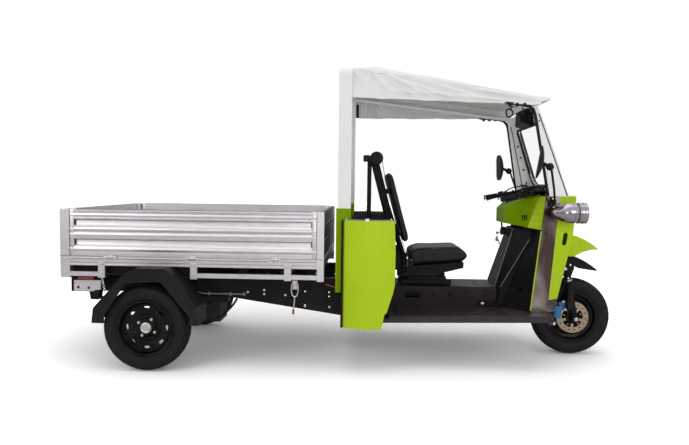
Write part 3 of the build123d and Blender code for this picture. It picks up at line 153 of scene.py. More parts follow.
def powder_coat(name, colour, gloss=0.42):
    """Textured black coat with scuffs and dust."""
    mat, shader, coords = finish_start(name, colour, 0.0, gloss, Specular_IOR_Level=0.12)
    scuff = between(grain(coords, 14, (1, 1, 0.4), detail=8, rough=0.7), 0.52, 0.72, 0.0, 0.35)
    base = mixed(scuff, colour, tuple(c * 2.4 + 0.01 for c in colour))
    feed(shader, "Base Color", dust_on(coords, base, ROAD_DUST, 0.55, 0.22))
    feed(shader, "Roughness", between(grain(coords, 30, detail=6), 0.3, 0.7, gloss - 0.08, gloss + 0.14))
    relief(shader, grain(coords, 900, detail=2), 0.12, 0.0005)
    return mat


def flat_coat(name, colour):
    """Rubberised sheet that gives almost no shine."""
    mat, shader, coords = finish_start(name, colour, 0.0, 0.9, Specular_IOR_Level=0.03)
    patch = between(grain(coords, 7, detail=7), 0.4, 0.75, 0.0, 1.0)
    feed(shader, "Base Color", mixed(patch, colour, tuple(c * 1.9 for c in colour)))
    feed(shader, "Roughness", between(grain(coords, 40), 0.3, 0.7, 0.8, 0.95))
    relief(shader, grain(coords, 260, detail=3), 0.2, 0.0005)
    return mat


def moulded_plastic(name, colour):
    """Coarse-grained moulded plastic."""
    mat, shader, coords = finish_start(name, colour, 0.0, 0.5, Specular_IOR_Level=0.14)
    cells = node_in("ShaderNodeTexVoronoi", [("Vector", coords)], Scale=520.0).outputs["Distance"]
    fade = between(grain(coords, 6, detail=5), 0.35, 0.7, 0.0, 0.5)
    base = mixed(fade, colour, tuple(c * 1.8 for c in colour))
    feed(shader, "Base Color", dust_on(coords, base, ROAD_DUST, 0.7, 0.2))
    feed(shader, "Roughness", between(grain(coords, 25), 0.3, 0.7, 0.42, 0.6))
    relief(shader, cells, 0.25, 0.0006)
    return mat


def drawn_metal(name, colour, rough, stretch, scale=260, dirt=(0.16, 0.15, 0.14), amount=0.25, bump=0.12):
    """Metal with a grain along one axis and a little grime."""
    mat, shader, coords = finish_start(name, colour, 1.0, rough)
    lines = grain(coords, scale, stretch, detail=3)
    streak = between(lines, 0.3, 0.7, 0.0, 1.0)
    base = mixed(streak, tuple(c * 0.86 for c in colour), tuple(min(1.0, c * 1.06) for c in colour))
    grime = between(grain(coords, 7, detail=7, rough=0.65), 0.5, 0.75, 0.0, amount)
    feed(shader, "Base Color", mixed(grime, base, dirt))
    feed(shader, "Roughness", between(lines, 0.3, 0.7, rough - 0.07, rough + 0.12))
    relief(shader, lines, bump, 0.0003)
    return mat


def bright_metal(name, colour, rough, shade):
    """Polished metal with a faint haze of wiping marks; its colour darkens towards a second colour in long
    patches, painted reflections.
    """
    mat, shader, coords = finish_start(name, colour, 1.0, rough)
    haze = grain(coords, 55, (0.35, 1, 1), detail=6)
    feed(shader, "Roughness", between(haze, 0.35, 0.7, rough, rough + 0.12))
    # Painted reflection: long patches where the colour darkens towards the second colour
    base = mixed(between(grain(coords, 5, (1, 1, 0.45), detail=3), 0.4, 0.62, 0.0, 1.0), colour, shade)
    feed(shader, "Base Color", base)
    relief(shader, grain(coords, 12, detail=2), 0.04, 0.002)
    return mat


def tyre_compound(name):
    mat, shader, coords = finish_start(name, (0.008, 0.007, 0.008), 0.0, 0.62, Specular_IOR_Level=0.12)
    bloom = between(grain(coords, 18, detail=8, rough=0.7), 0.45, 0.75, 0.0, 0.5)
    feed(shader, "Base Color", mixed(bloom, (0.015, 0.012, 0.0145), (0.03, 0.026, 0.029)))
    feed(shader, "Roughness", between(grain(coords, 60), 0.3, 0.7, 0.5, 0.75))
    relief(shader, grain(coords, 700, detail=2), 0.15, 0.0004)
    return mat


def weave(coords, scale):
    """Crossed threads, as a height pattern."""
    return times(*[
        node_in(
            "ShaderNodeTexWave", [("Vector", coords)], bands_direction=way, Scale=scale,
            Distortion=0.3).outputs["Fac"] for way in "XY"])


def coated_cloth(name, colour, shade):
    """White coated canvas: fine weave, soft creases, faint handling marks."""
    mat, shader, coords = finish_start(name, colour, 0.0, 0.6, Sheen_Weight=0.15)
    marks = between(grain(coords, 4, detail=8, rough=0.65), 0.45, 0.8, 0.0, 1.0)
    feed(shader, "Base Color", mixed(marks, colour, shade))
    feed(shader, "Roughness", between(grain(coords, 35), 0.3, 0.7, 0.52, 0.7))
    relief(shader, weave(coords, 260), 0.1, 0.0005)
    relief(shader, grain(coords, 3.2, (1, 2.6, 2), detail=4, rough=0.6), 0.35, 0.01)
    return mat


def grained_vinyl(name, colour):
    """Black seat vinyl with a leather grain."""
    mat, shader, coords = finish_start(name, colour, 0.0, 0.42, Specular_IOR_Level=0.22)
    cells = node_in("ShaderNodeTexVoronoi", [("Vector", coords)], Scale=330.0).outputs["Distance"]
    wear = between(grain(coords, 8, detail=6), 0.5, 0.8, 0.0, 0.5)
    feed(shader, "Base Color", mixed(wear, colour, tuple(c * 2.2 for c in colour)))
    feed(shader, "Roughness", between(cells, 0.1, 0.6, 0.36, 0.52))
    relief(shader, cells, 0.35, 0.0008)
    relief(shader, grain(coords, 11, detail=3), 0.25, 0.004)
    return mat


def clear_glass(name, tint, alpha, rough=0.02):
    """Thin clear glass or lens plastic."""
    mat, shader, coords = finish_start(name, tint, 0.0, rough, Alpha=alpha, IOR=1.5)
    film = grain(coords, 20, detail=6)
    feed(shader, "Roughness", between(film, 0.4, 0.8, rough, rough + 0.06))
    return mat


def lens_plastic(name, colour):
    mat, shader, coords = finish_start(name, colour, 0.0, 0.16, Coat_Weight=0.6, Coat_Roughness=0.05)
    ribs = node_in(
        "ShaderNodeTexWave", [("Vector", coords)], bands_direction="X", Scale=90.0).outputs["Fac"]
    feed(shader, "Base Color", mixed(ribs, colour, tuple(c * 0.55 for c in colour)))
    relief(shader, ribs, 0.3, 0.001)
    return mat


lime = enamel("lime_enamel", (0.43, 0.62, 0.008), (0.39, 0.57, 0.007))
# Painted shade: a darker copy of the lime enamel, for the dash fairing and lower hoop, which stand in shade
painted_shade_lime = enamel("shaded_lime_enamel", (0.2, 0.33, 0.001), (0.17, 0.29, 0.001), 0.34, 0.02)
white = enamel("white_enamel", (0.8, 0.8, 0.79), (0.76, 0.76, 0.75), 0.4)
# Painted light: a lighter copy of the white enamel, for the screen frame and posts, whose inner faces stand
# in shade
painted_light_white = enamel("screen_white_painted_light_enamel", (0.9, 0.9, 0.89), (0.88, 0.88, 0.87), 0.4)
black = powder_coat("black_powder_coat", (0.007, 0.0055, 0.0068))
# Painted light: lighter copies of the black powder coat, so that the floor tunnel, foot mats, running
# boards and board trims read lit
lit_floor_black = powder_coat("floor_black_coat", (0.02, 0.0155, 0.0185))
lit_board_black = powder_coat("board_black_coat", (0.042, 0.035, 0.039))
matt_black = flat_coat("matt_black_lid", (0.0035, 0.0038, 0.0034))
black_gloss = powder_coat("black_stove_enamel", (0.0035, 0.003, 0.0035), 0.24)
# Painted shade: a grey copy of the canopy cloth, for the shaded inner face of the hanging side
shaded_lining = coated_cloth("lining_cloth", (0.62, 0.62, 0.61), (0.57, 0.565, 0.55))
plastic = moulded_plastic("moulded_black_plastic", (0.009, 0.0078, 0.0088))
tray_alloy = drawn_metal("tray_plank_alloy", (0.66, 0.63, 0.655), 0.4, (0.05, 1, 1), amount=0.12)
deck_alloy = drawn_metal("tray_floor_alloy", (0.66, 0.65, 0.66), 0.46, (0.05, 1, 1), amount=0.35)
# Dark alloy for trims, keys, pipes and the instrument face; the same finish is painted shade on the
# headboard and the gate and rail lips, and a painted highlight on the column folds
dark_alloy_and_painted_light = drawn_metal("dark_anodised_alloy_and_painted_light", (0.2, 0.2, 0.21), 0.45, (1, 0.05, 1), amount=0.2)
# Painted reflection: the darker patches in stainless and chrome, and the chrome's low colour, stand in for
# reflections of dark surroundings
stainless = bright_metal("polished_stainless", (0.34, 0.29, 0.28), 0.16, (0.1, 0.065, 0.06))
chrome = bright_metal("lamp_chrome", (0.35, 0.32, 0.35), 0.09, (0.3, 0.27, 0.29))
zinc = drawn_metal("zinc_plated_steel", (0.62, 0.6, 0.57), 0.3, (1, 1, 0.1), amount=0.3)
disc_steel = drawn_metal("brake_disc_steel", (0.42, 0.34, 0.25), 0.28, (1, 0.05, 1), amount=0.25)
casting = powder_coat("axle_casting", (0.035, 0.034, 0.034), 0.6)
tyre_rubber = tyre_compound("tyre_compound")
grip_rubber = moulded_plastic("grip_rubber", (0.006, 0.0055, 0.006))
screen_glass = clear_glass("screen_glass", (0.86, 0.9, 0.9), 0.06)
lamp_glass = clear_glass("lamp_glass", (0.85, 0.88, 0.9), 0.42)
red_lens = lens_plastic("red_lens", (0.36, 0.012, 0.01))
blue = enamel("caliper_blue", (0.06, 0.2, 0.42), (0.05, 0.16, 0.36))
cloth = coated_cloth("canopy_cloth", (0.745, 0.735, 0.73), (0.69, 0.68, 0.66))
vinyl = grained_vinyl("seat_vinyl", (0.011, 0.009, 0.0098))


def dress(material, *names):
    """Gives CAD nodes a finish through their objects' material slots."""
    for name in names:
        for slot in nodes[name].material_slots:
            slot.material = material


dress(lime, "nose_shell", "nose_beak", "side_panels")
# The dash fairing and lower hoop take the painted-shade copy of the lime
dress(painted_shade_lime, "dash_fairing", "hoop_lower")
dress(white, "hoop_upper")
dress(painted_light_white, "windscreen_frame")
dress(
    black, "chassis_frame", "rear_axle", "leaf_springs", "leg_shield", "steering_head", "seat_base",
    "belt_frame", "brake_pedal", "fork", "handlebar")
dress(lit_floor_black, "floor_tunnel")
dress(lit_board_black, "running_boards")
dress(black_gloss, "front_rim", "rear_rim_left", "rear_rim_right")
dress(matt_black, "battery_box")
dress(plastic, "rear_mudguards", "wiper_motor", "mirrors", "instrument_cluster", "front_mudguard")
dress(black, "rear_lamp_bar", "fork_springs")
dress(tray_alloy, "tray_frame", "tray_posts", "side_gate_left", "side_gate_right", "tailgate")
dress(deck_alloy, "tray_deck")
# Painted shade: the headboard takes the dark alloy for its outer face, which stands in shadow
dress(dark_alloy_and_painted_light, "tray_headboard")
dress(stainless, "nose_trims")
dress(chrome, "headlamp_pods")
dress(disc_steel, "brake_disc")
dress(casting, "motor_block")
dress(tyre_rubber, "front_tyre", "rear_tyre_left", "rear_tyre_right")
dress(grip_rubber, "grips")
dress(screen_glass, "windscreen_glass")
dress(lamp_glass, "headlamp_lenses")
dress(red_lens, "rear_lamps")
dress(blue, "brake_caliper")
dress(cloth, "canopy")
dress(vinyl, "seat_cushion", "seat_back")


# Modelling helpers, in metres from the rear axle

def only(obj):
    bpy.ops.object.select_all(action="DESELECT")
    obj.select_set(True)
    bpy.context.view_layer.objects.active = obj
    return obj


def edit(obj):
    """Opens edit mode with everything deselected."""
    only(obj)
    bpy.ops.object.mode_set(mode="EDIT")
    bpy.ops.mesh.select_mode(type="FACE")
    bpy.ops.mesh.select_all(action="DESELECT")
    return bmesh.from_edit_mesh(obj.data)


def pick(obj, test):
    """Selects the faces that pass a test, in edit mode."""
    mesh = bmesh.from_edit_mesh(obj.data)
    for face in mesh.faces:
        face.select_set(test(face))
    mesh.select_flush_mode()
    bmesh.update_edit_mesh(obj.data)


def outwards():
    """Turns all faces outwards, in edit mode."""
    bpy.ops.mesh.select_all(action="SELECT")
    bpy.ops.mesh.normals_make_consistent(inside=False)


def shut(obj):
    bpy.ops.object.mode_set(mode="OBJECT")
    return obj


def settle(obj):
    """Puts the object at the origin, with its place in its mesh."""
    only(obj)
    bpy.ops.object.transform_apply(location=True, rotation=True, scale=True)
    return obj


def clean(obj):
    """Merges doubles and turns the faces outwards."""
    edit(obj)
    bpy.ops.mesh.select_all(action="SELECT")
    bpy.ops.mesh.remove_doubles(threshold=0.00002)
    bpy.ops.mesh.normals_make_consistent(inside=False)
    return shut(obj)


def apply_all(obj):
    only(obj)
    for modifier in list(obj.modifiers):
        bpy.ops.object.modifier_apply(modifier=modifier.name)
    return obj


def round_edges(obj, width, steps=2, angle=30):
    edge = obj.modifiers.new("edge", "BEVEL")
    edge.width = width
    edge.segments = steps
    edge.limit_method = "ANGLE"
    edge.angle_limit = radians(angle)
    edge.use_clamp_overlap = True
    return apply_all(obj)


def smooth(obj, angle=40):
    only(obj)
    bpy.ops.object.shade_smooth_by_angle(angle=radians(angle))
    return obj


def slab(low, high, edge=0.0, steps=2):
    """A block between two corners, with rounded edges."""
    low, high = spot(*low), spot(*high)
    bpy.ops.mesh.primitive_cube_add(size=1, location=(low + high) / 2)
    obj = bpy.context.object
    obj.scale = high - low
    settle(obj)
    return round_edges(obj, edge, steps) if edge else obj


def plate(outline, depth, edge=0.0, steps=2):
    """A flat outline of points, extruded by the vector depth."""
    bpy.ops.mesh.primitive_circle_add(vertices=len(outline), radius=0.1, fill_type="NGON")
    obj = bpy.context.object
    mesh = edit(obj)
    mesh.verts.ensure_lookup_table()
    for vertex, point in zip(mesh.verts, outline):
        vertex.co = spot(*point)
    bmesh.update_edit_mesh(obj.data)
    bpy.ops.mesh.select_all(action="SELECT")
    bpy.ops.mesh.extrude_region_move(TRANSFORM_OT_translate={"value": depth})
    outwards()
    shut(obj)
    settle(obj)
    return round_edges(obj, edge, steps) if edge else obj


def drum(start, end, radius, sides=24, edge=0.0, end_radius=None):
    """A round bar or cone between two points, with its end edges rounded."""
    start, end = spot(*start), spot(*end)
    run = end - start
    bpy.ops.mesh.primitive_cone_add(
        vertices=sides, radius1=radius, radius2=end_radius or radius, depth=run.length,
        location=(start + end) / 2, rotation=run.to_track_quat("Z", "Y").to_euler())
    obj = settle(bpy.context.object)
    return smooth(round_edges(obj, edge)) if edge else smooth(obj)


def stud(x, z, start, end, radius, sides=24, edge=0.0):
    """A drum across the vehicle at x and z, between two values of y."""
    return drum((x, start, z), (x, end, z), radius, sides, edge)


def at_y(y, *points):
    """Points (x, z) at one y."""
    return [(x, y, z) for x, z in points]


def turned(profile, centre, steps=48, axis=(0, 1, 0)):
    """A closed profile of (along, radius) points, spun about an axis."""
    axis = Vector(axis)
    side = Vector((0, 0, 1)) if abs(axis.z) < 0.5 else Vector((1, 0, 0))
    centre = spot(*centre)
    bpy.ops.mesh.primitive_circle_add(vertices=len(profile), radius=0.1, fill_type="NOTHING")
    obj = bpy.context.object
    mesh = edit(obj)
    mesh.verts.ensure_lookup_table()
    for vertex, (along, radius) in zip(mesh.verts, profile):
        vertex.co = centre + axis * along + side * radius
    bmesh.update_edit_mesh(obj.data)
    bpy.ops.mesh.select_all(action="SELECT")
    bpy.ops.mesh.spin(steps=steps, angle=2 * pi, center=centre, axis=axis)
    shut(obj)
    settle(obj)
    return smooth(clean(obj))


def wire(points, radius, sides=4, order=3):
    """A tube along a smooth curve that the points guide."""
    bpy.ops.curve.primitive_nurbs_path_add(radius=1)
    obj = bpy.context.object
    curve = obj.data
    curve.splines.clear()
    spline = curve.splines.new("NURBS")
    spline.points.add(len(points) - 1)
    for point, place in zip(spline.points, points):
        point.co = (*spot(*place), 1)
    spline.use_endpoint_u = True
    spline.order_u = order
    spline.resolution_u = 8
    curve.bevel_depth = radius
    curve.bevel_resolution = sides
    curve.use_fill_caps = True
    settle(obj)
    bpy.ops.object.convert(target="MESH")
    return smooth(bpy.context.object)


def mirrored(obj):
    """The same piece on the other side of the vehicle."""
    only(obj)
    bpy.ops.object.duplicate()
    twin = bpy.context.object
    twin.scale = (1, -1, 1)
    settle(twin)
    edit(twin)
    outwards()
    return shut(twin)


def joined(parts):
    """Several shapes as one."""
    only(parts[0])
    for part in parts:
        part.select_set(True)
    if len(parts) > 1:
        bpy.ops.object.join()
    return parts[0]


def both(parts):
    """Joins shapes with their mirror images."""
    return joined(parts + [mirrored(part) for part in parts])


def piece(name, parts, finish, body="chassis", replaces=None):
    """Joins parts into a finished piece with its name, material, body and slot."""
    obj = joined(parts)
    obj.name = name
    obj.data.name = name
    obj.data.materials.clear()
    obj.data.materials.append(finish)
    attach(obj, body)
    if replaces:
        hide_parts(replaces)
    return obj


def pair(name, parts, finish, body="chassis"):
    """A piece of parts and their mirror images."""
    return piece(name, [both(parts)], finish, body)


# Tyres

def tyre(name, y, x, body, node):
    """A tyre with rib grooves, shoulder lugs and a beaded sidewall."""
    profile = [
        (-0.055, 0.168), (-0.055, 0.177), (-0.061, 0.183), (-0.068, 0.196), (-0.0712, 0.21),
        (-0.0722, 0.222), (-0.0705, 0.236), (-0.0655, 0.2475), (-0.0585, 0.2535), (-0.046, 0.26),
        (-0.034, 0.264), (-0.031, 0.259), (-0.027, 0.259), (-0.024, 0.266), (-0.005, 0.2678),
        (-0.003, 0.2615), (0.003, 0.2615), (0.005, 0.2678)]
    other = [(-along, radius) for along, radius in profile[::-1] if along < -0.0051]
    obj = turned(profile + other, (x, y, WHEEL_CENTRE_Z), 120)
    centre = spot(x, y, WHEEL_CENTRE_Z)
    edit(obj)

    def lug_gap(face):
        place = face.calc_center_median() - centre
        radius = Vector((place.x, place.z)).length
        turn = int(round((atan2(place.z, place.x) / (2 * pi) * 120) - 0.5))
        return 0.2545 < radius < 0.2625 and turn % 3 == 0
    pick(obj, lug_gap)
    bpy.ops.mesh.extrude_region_shrink_fatten(TRANSFORM_OT_shrink_fatten={"value": -0.005})
    shut(obj)
    return piece(name, [smooth(obj, 25)], tyre_rubber, body, replaces=node)


tyre("front_tyre_tread", 0.0, WHEELBASE, "front_wheel", "front_tyre")
tyre("rear_tyre_left_tread", REAR_TRACK_HALF, 0.0, "rear_wheel_left", "rear_tyre_left")
tyre("rear_tyre_right_tread", -REAR_TRACK_HALF, 0.0, "rear_wheel_right", "rear_tyre_right")


# Seat

def puffed(obj, cap, pressure=4.0, voxel=0.009):
    """Swells a closed form as a stuffed cover, no point by more than cap."""
    remesh = obj.modifiers.new("skin", "REMESH")
    remesh.mode = "VOXEL"
    remesh.voxel_size = voxel
    apply_all(obj)
    start = [vertex.co.copy() for vertex in obj.data.vertices]
    cloth_mod = obj.modifiers.new("stuffing", "CLOTH")
    cloth_mod.settings.use_pressure = True
    cloth_mod.settings.uniform_pressure_force = pressure
    cloth_mod.settings.effector_weights.gravity = 0
    cloth_mod.settings.quality = 5
    for step in range(1, 19):
        bpy.context.scene.frame_set(step)
    apply_all(obj)
    bpy.context.scene.frame_set(1)
    for vertex, place in zip(obj.data.vertices, start):
        move = vertex.co - place
        if move.length > cap:
            vertex.co = place + move.normalized() * cap
    relax = obj.modifiers.new("relax", "SMOOTH")
    relax.iterations = 3
    relax.factor = 0.5
    finer = obj.modifiers.new("finer", "SUBSURF")
    finer.levels = 1
    finer.render_levels = 1
    return smooth(apply_all(obj), 60)


def side_form(outline, half, edge):
    """A closed form with a side outline of (x, z), from -half to half."""
    points = [(x, -half, z) for x, z in outline]
    return plate(points, (0, 2 * half, 0), edge, 3)


cushion = side_form(
    [
        (1.646, 0.63), (1.64, 0.712), (1.72, 0.736), (1.988, 0.745), (2.04, 0.718), (2.052, 0.69),
        (2.026, 0.663)], 0.198, 0.022)
puffed(cushion, 0.012)
piece("seat_pad", [cushion], vinyl, replaces="seat_cushion")
back = side_form(
    [(1.612, 0.772), (1.479, 1.25), (1.494, 1.262), (1.512, 1.252), (1.64, 0.786)], 0.193, 0.012)
puffed(back, 0.01)
piece("seat_back_pad", [back], vinyl, replaces="seat_back")


# Canopy

STATIONS = [
    (1.256, 0.552, 1.698, 0.538, 1.868, 1.892), (1.354, 0.546, 1.696, 0.53, 1.872, 1.898),
    (2.407, 0.402, 1.684, 0.388, 1.724, 1.768), (2.604, 0.374, 1.7, 0.366, 1.712, 1.752)]
SIDE_STEPS, TOP_STEPS, LONG_STEPS = 22, 60, 250


def canopy_outline(x):
    """Half the cross-section at x: lower edge, shoulder and crown as (y, z)."""
    for first, second in zip(STATIONS, STATIONS[1:]):
        if x <= second[0] or second is STATIONS[-1]:
            share = (x - first[0]) / (second[0] - first[0])
            low_y, low_z, high_y, high_z, crown = [
                a + (b - a) * share for a, b in zip(first[1:], second[1:])]
            return [(low_y, low_z), (high_y, high_z), (high_y * 0.93, high_z + 0.017), (0.0, crown)]


def canopy_point(x, across_share):
    """A point of the sheet. across_share runs from -1 at the right edge to 1 at the left."""
    side = -1 if across_share < 0 else 1
    low, high, corner, crown = canopy_outline(x)
    edge_share = 1 - abs(across_share)
    fold = SIDE_STEPS / (SIDE_STEPS + TOP_STEPS / 2)
    if edge_share < fold:
        share = edge_share / fold
        y, z = low[0] + (high[0] - low[0]) * share, low[1] + (high[1] - low[1]) * share
        z -= 0.004 * sin(pi * share)
    else:
        share = (edge_share - fold) / (1 - fold)
        y = high[0] * (1 - share)
        rise = min(1.0, share / 0.07)
        flat = corner[1] + (crown[1] - corner[1]) * (1 - (1 - share) ** 1.6)
        z = high[1] + (flat - high[1]) * sin(rise * pi / 2)
    return Vector((x, side * y, z))


# The base of the bell curves that creases and seams follow
EULER = 2.718
# Creases seen from the side: start, end, half width and depth
CREASES = [
    ((1.385, 1.884), (1.7, 1.736), 0.011, 0.012), ((1.395, 1.888), (1.98, 1.742), 0.013, 0.013),
    ((1.41, 1.89), (2.2, 1.744), 0.012, 0.01), ((1.37, 1.87), (1.47, 1.745), 0.01, 0.008),
    ((1.366, 1.868), (1.415, 1.78), 0.008, 0.007), ((1.29, 1.88), (1.345, 1.85), 0.008, 0.005),
    ((1.52, 1.745), (2.3, 1.706), 0.014, 0.008), ((1.262, 1.86), (1.31, 1.8), 0.009, 0.005),
    ((1.7, 1.83), (2.38, 1.732), 0.014, 0.009), ((1.6, 1.8), (1.9, 1.7), 0.011, 0.007),
    ((2.05, 1.77), (2.42, 1.716), 0.01, 0.008), ((1.48, 1.8), (1.64, 1.712), 0.008, 0.006)]

def bell(away, width):
    return EULER ** (-(away / width) ** 2)


def crease_depth(x, z):
    depth = 0.0
    for (x0, z0), (x1, z1), width, strength in CREASES:
        run_x, run_z = x1 - x0, z1 - z0
        length = (run_x ** 2 + run_z ** 2) ** 0.5
        along = ((x - x0) * run_x + (z - z0) * run_z) / length ** 2
        if -0.1 < along < 1.1:
            away = ((x - x0) * run_z - (z - z0) * run_x) / length
            fade = min(1.0, max(0.0, (along + 0.1) * 6), max(0.0, (1.1 - along) * 3))
            depth += 1.5 * strength * fade * (bell(away, width) - 0.6 * bell(away - 1.6 * width, width))
    return depth


def canopy_cloth_sheet():
    columns = 2 * SIDE_STEPS + TOP_STEPS
    bpy.ops.mesh.primitive_grid_add(x_subdivisions=LONG_STEPS, y_subdivisions=columns, size=2)
    obj = bpy.context.object
    mesh = edit(obj)
    for vertex in mesh.verts:
        along, share = vertex.co.x / 2 + 0.5, vertex.co.y
        tip = 2.44 + 0.132 * (1 - (abs(share) / 0.75) ** 2) if abs(share) < 0.75 else 2.44
        x = STATIONS[0][0] + along * (tip - STATIONS[0][0])
        place = canopy_point(x, share)
        edge_share = 1 - abs(share)
        outward = Vector((0, 1 if share > 0 else -1, 0)) if edge_share < 0.4 else Vector((0, 0, 1))
        near_edge = max(0.0, 1 - edge_share / 0.85)
        place += outward * crease_depth(place.x, place.z) * near_edge
        seam = EULER ** (-((place.x - 1.36) / 0.004) ** 2)
        hem = 1.0 if edge_share < 0.06 else 0.0
        place += outward * (0.0022 * seam + 0.0012 * hem)
        if edge_share < 0.02:
            place.z += 0.0014 * sin(place.x * 21) + 0.001 * sin(place.x * 47)
        vertex.co = spot(*place)
    bmesh.update_edit_mesh(obj.data)
    outwards()
    shut(obj)
    settle(obj)
    thick = obj.modifiers.new("cloth", "SOLIDIFY")
    thick.thickness = 0.003
    thick.offset = -1
    return smooth(apply_all(obj), 50)


canopy_sheet = canopy_cloth_sheet()
piece("canopy_sheet", [canopy_sheet], cloth, replaces="canopy")


# Cab: seals, screen fittings, dash, seat belt and trims

SCREEN_FOOT_X, SCREEN_FOOT_Z = 2.649, 1.11
SCREEN_LEAN = radians(19.2)


def on_screen(y, up, out=0.0):
    """A point of the windscreen, up along it and out in front of it."""
    return (
        SCREEN_FOOT_X - up * sin(SCREEN_LEAN) + out * cos(SCREEN_LEAN), y,
        SCREEN_FOOT_Z + up * cos(SCREEN_LEAN) + out * sin(SCREEN_LEAN))


def corner_loop(corners, cuts):
    """A closed route round corners, with a point on each side of every corner."""
    route = []
    for index, (corner, cut) in enumerate(zip(corners, cuts)):
        corner = Vector(corner)
        for neighbour in (corners[index - 1], corners[(index + 1) % len(corners)]):
            run = (Vector(neighbour) - corner).normalized() * cut
            route.append(tuple(corner + run))
            if neighbour is corners[index - 1]:
                route.append(tuple(corner))
    return route + route[:1]


def post_edge(z):
    """The cab door's rear edge of the screen post at height z, on the left."""
    rise = z - SCREEN_FOOT_Z
    return (2.503 - 0.1751 * rise, 0.387 - 0.044 * rise, z)


def post_front(z):
    """The front edge of the screen post, on the left."""
    rise = z - SCREEN_FOOT_Z
    return (2.638 - 0.3482 * rise, 0.347 - 0.0848 * rise, z)


def on_post(share, z, inside=0.0):
    """A point of the post's sheet, from its rear edge to its front edge."""
    rear, front = post_edge(z), post_front(z)
    x, y = rear[0] + (front[0] - rear[0]) * share, rear[1] + (front[1] - rear[1]) * share
    return (x, y - inside, z)


SILL_UP = 0.074
WINDOW = [(-0.3131, SILL_UP), (0.3131, SILL_UP), (0.2785, 0.506), (-0.2785, 0.506)]
CORNER_CUTS = [0.16, 0.16, 0.06, 0.06]
gaskets = [
    wire(corner_loop([on_screen(y, up, out) for y, up in WINDOW], CORNER_CUTS), 0.0085, 3)
    for out in (-0.02, 0.001)]
door_seal = [
    (2.215, 0.418, 1.69), (2.3, 0.405, 1.684), (2.352, 0.396, 1.678), (2.392, 0.38, 1.664),
    post_edge(1.625), post_edge(1.56), post_edge(1.4), post_edge(1.25), post_edge(1.112)]
side_seals = [
    wire(door_seal, 0.0095, 3),
    wire([on_post(0.34, z, 0.0145) for z in (1.62, 1.5, 1.38, 1.25, 1.113)], 0.003, 2),
    wire([post_front(z) for z in (1.64, 1.48, 1.3, 1.113)], 0.0035, 2),
    drum(on_post(0.5, 1.59, -0.001), on_post(0.5, 1.59, -0.005), 0.006, 12, 0.001)]
for z in (1.199, 1.297, 1.388, 1.471):
    side_seals.append(drum(on_post(0.62, z, 0.012), on_post(0.62, z, 0.0185), 0.0075, 14, 0.0015))
top_trim = wire([(2.205, 0.417, 1.694), (2.29, 0.406, 1.689), (2.372, 0.393, 1.681)], 0.011, 3)
trim_clips = [slab((x, 0.402, 1.668), (x + 0.018, 0.424, 1.692), 0.004) for x in (2.232, 2.275, 2.322)]
cab_seals = both(side_seals + [top_trim] + trim_clips)
piece("cab_seals", [cab_seals] + gaskets, plastic)


def window_corner(out):
    """The sheet inside the glass's lower right corner, up to the gasket's curve."""
    corner, along, above = Vector(WINDOW[0]), Vector((1, 0)), Vector((0.0797, 0.9968))
    start, end = corner + along * CORNER_CUTS[0], corner + above * CORNER_CUTS[0]
    curve = [
        start * (1 - t) ** 2 + corner * 2 * t * (1 - t) + end * t ** 2
        for t in [step / 12 for step in range(13)]]
    outline = [corner + Vector((-0.012, -0.012))] + curve
    depth = Vector(on_screen(0, 0, 0.004)) - Vector(on_screen(0, 0, 0.0))
    return plate([on_screen(y, up, out) for y, up in outline], depth)


sill = plate(
    [
        on_screen(y, up, -0.0195)
        for y, up in (
            (-0.322, 0.044), (0.322, 0.044), (0.3131, SILL_UP + 0.001), (-0.3131, SILL_UP + 0.001))],
    Vector(on_screen(0, 0, 0.004)) - Vector(on_screen(0, 0, 0.0)))
piece("window_corners", [both([window_corner(-0.0195)]), sill], painted_light_white)

RING_Y = 0.195
ring_route = [
    (x, RING_Y, z)
    for x, z in (
        (2.364, 1.686), (2.356, 1.714), (2.369, 1.735), (2.394, 1.731), (2.409, 1.714), (2.405, 1.688),
        (2.388, 1.675), (2.37, 1.677), (2.364, 1.686))]
piece(
    "inner_mirror",
    [
        wire(ring_route, 0.0056, 3),
        wire(
            [(2.388, RING_Y + 0.002, 1.73), (2.396, RING_Y + 0.004, 1.752), (2.42, RING_Y + 0.004, 1.758)],
            0.005, 3)], plastic)
# Painted reflection: the mirror's face takes the white canopy cloth, for the bright canopy it reflects
piece("inner_mirror_painted_reflection", [plate([(x, y, z) for x, y, z in ring_route[:-1]], (0, 0.003, 0), 0.001)], cloth)

piece(
    "wiper_fittings",
    [
        wire(
            [(2.42, -0.15, 1.684), (2.392, -0.2, 1.712), (2.402, -0.262, 1.704), (2.421, -0.29, 1.64)],
            0.0075, 3),
        wire(
            [(2.4, -0.12, 1.688), (2.366, -0.19, 1.7), (2.372, -0.27, 1.69), (2.412, -0.318, 1.662)],
            0.0045, 3), slab((2.416, -0.205, 1.6), (2.446, -0.15, 1.664), 0.005),
        drum((2.385, -0.12, 1.64), (2.372, -0.12, 1.636), 0.034, 28, 0.004),
        slab((2.392, -0.06, 1.598), (2.452, -0.052, 1.69), 0.003)], plastic)
pair(
    "dash_vents",
    [
        wire([(x, y, z), (x - 0.002, y, z + 0.018), (x - 0.006, y + 0.001, z + 0.036)], 0.0036, 3)
        for x, y, z in ((2.3945, -0.221, 0.943), (2.404, -0.2325, 0.944), (2.4135, -0.244, 0.946))],
    grip_rubber)
screws = [
    drum((2.468, -0.327, 0.937), (2.4625, -0.334, 0.936), 0.0065, 16, 0.0015),
    drum((2.31, -0.1305, 0.94), (2.305, -0.1345, 0.94), 0.005, 14, 0.001),
    stud(2.141, 0.3784, -0.216, -0.225, 0.0135, 6, 0.0015)]
latch = wire(
    [(2.362, -0.262, 0.466), (2.372, -0.284, 0.5), (2.392, -0.302, 0.504), (2.4, -0.318, 0.482)], 0.0042, 3)
piece("cab_fasteners", screws, zinc)
pair("wing_latches", [latch], black_gloss)

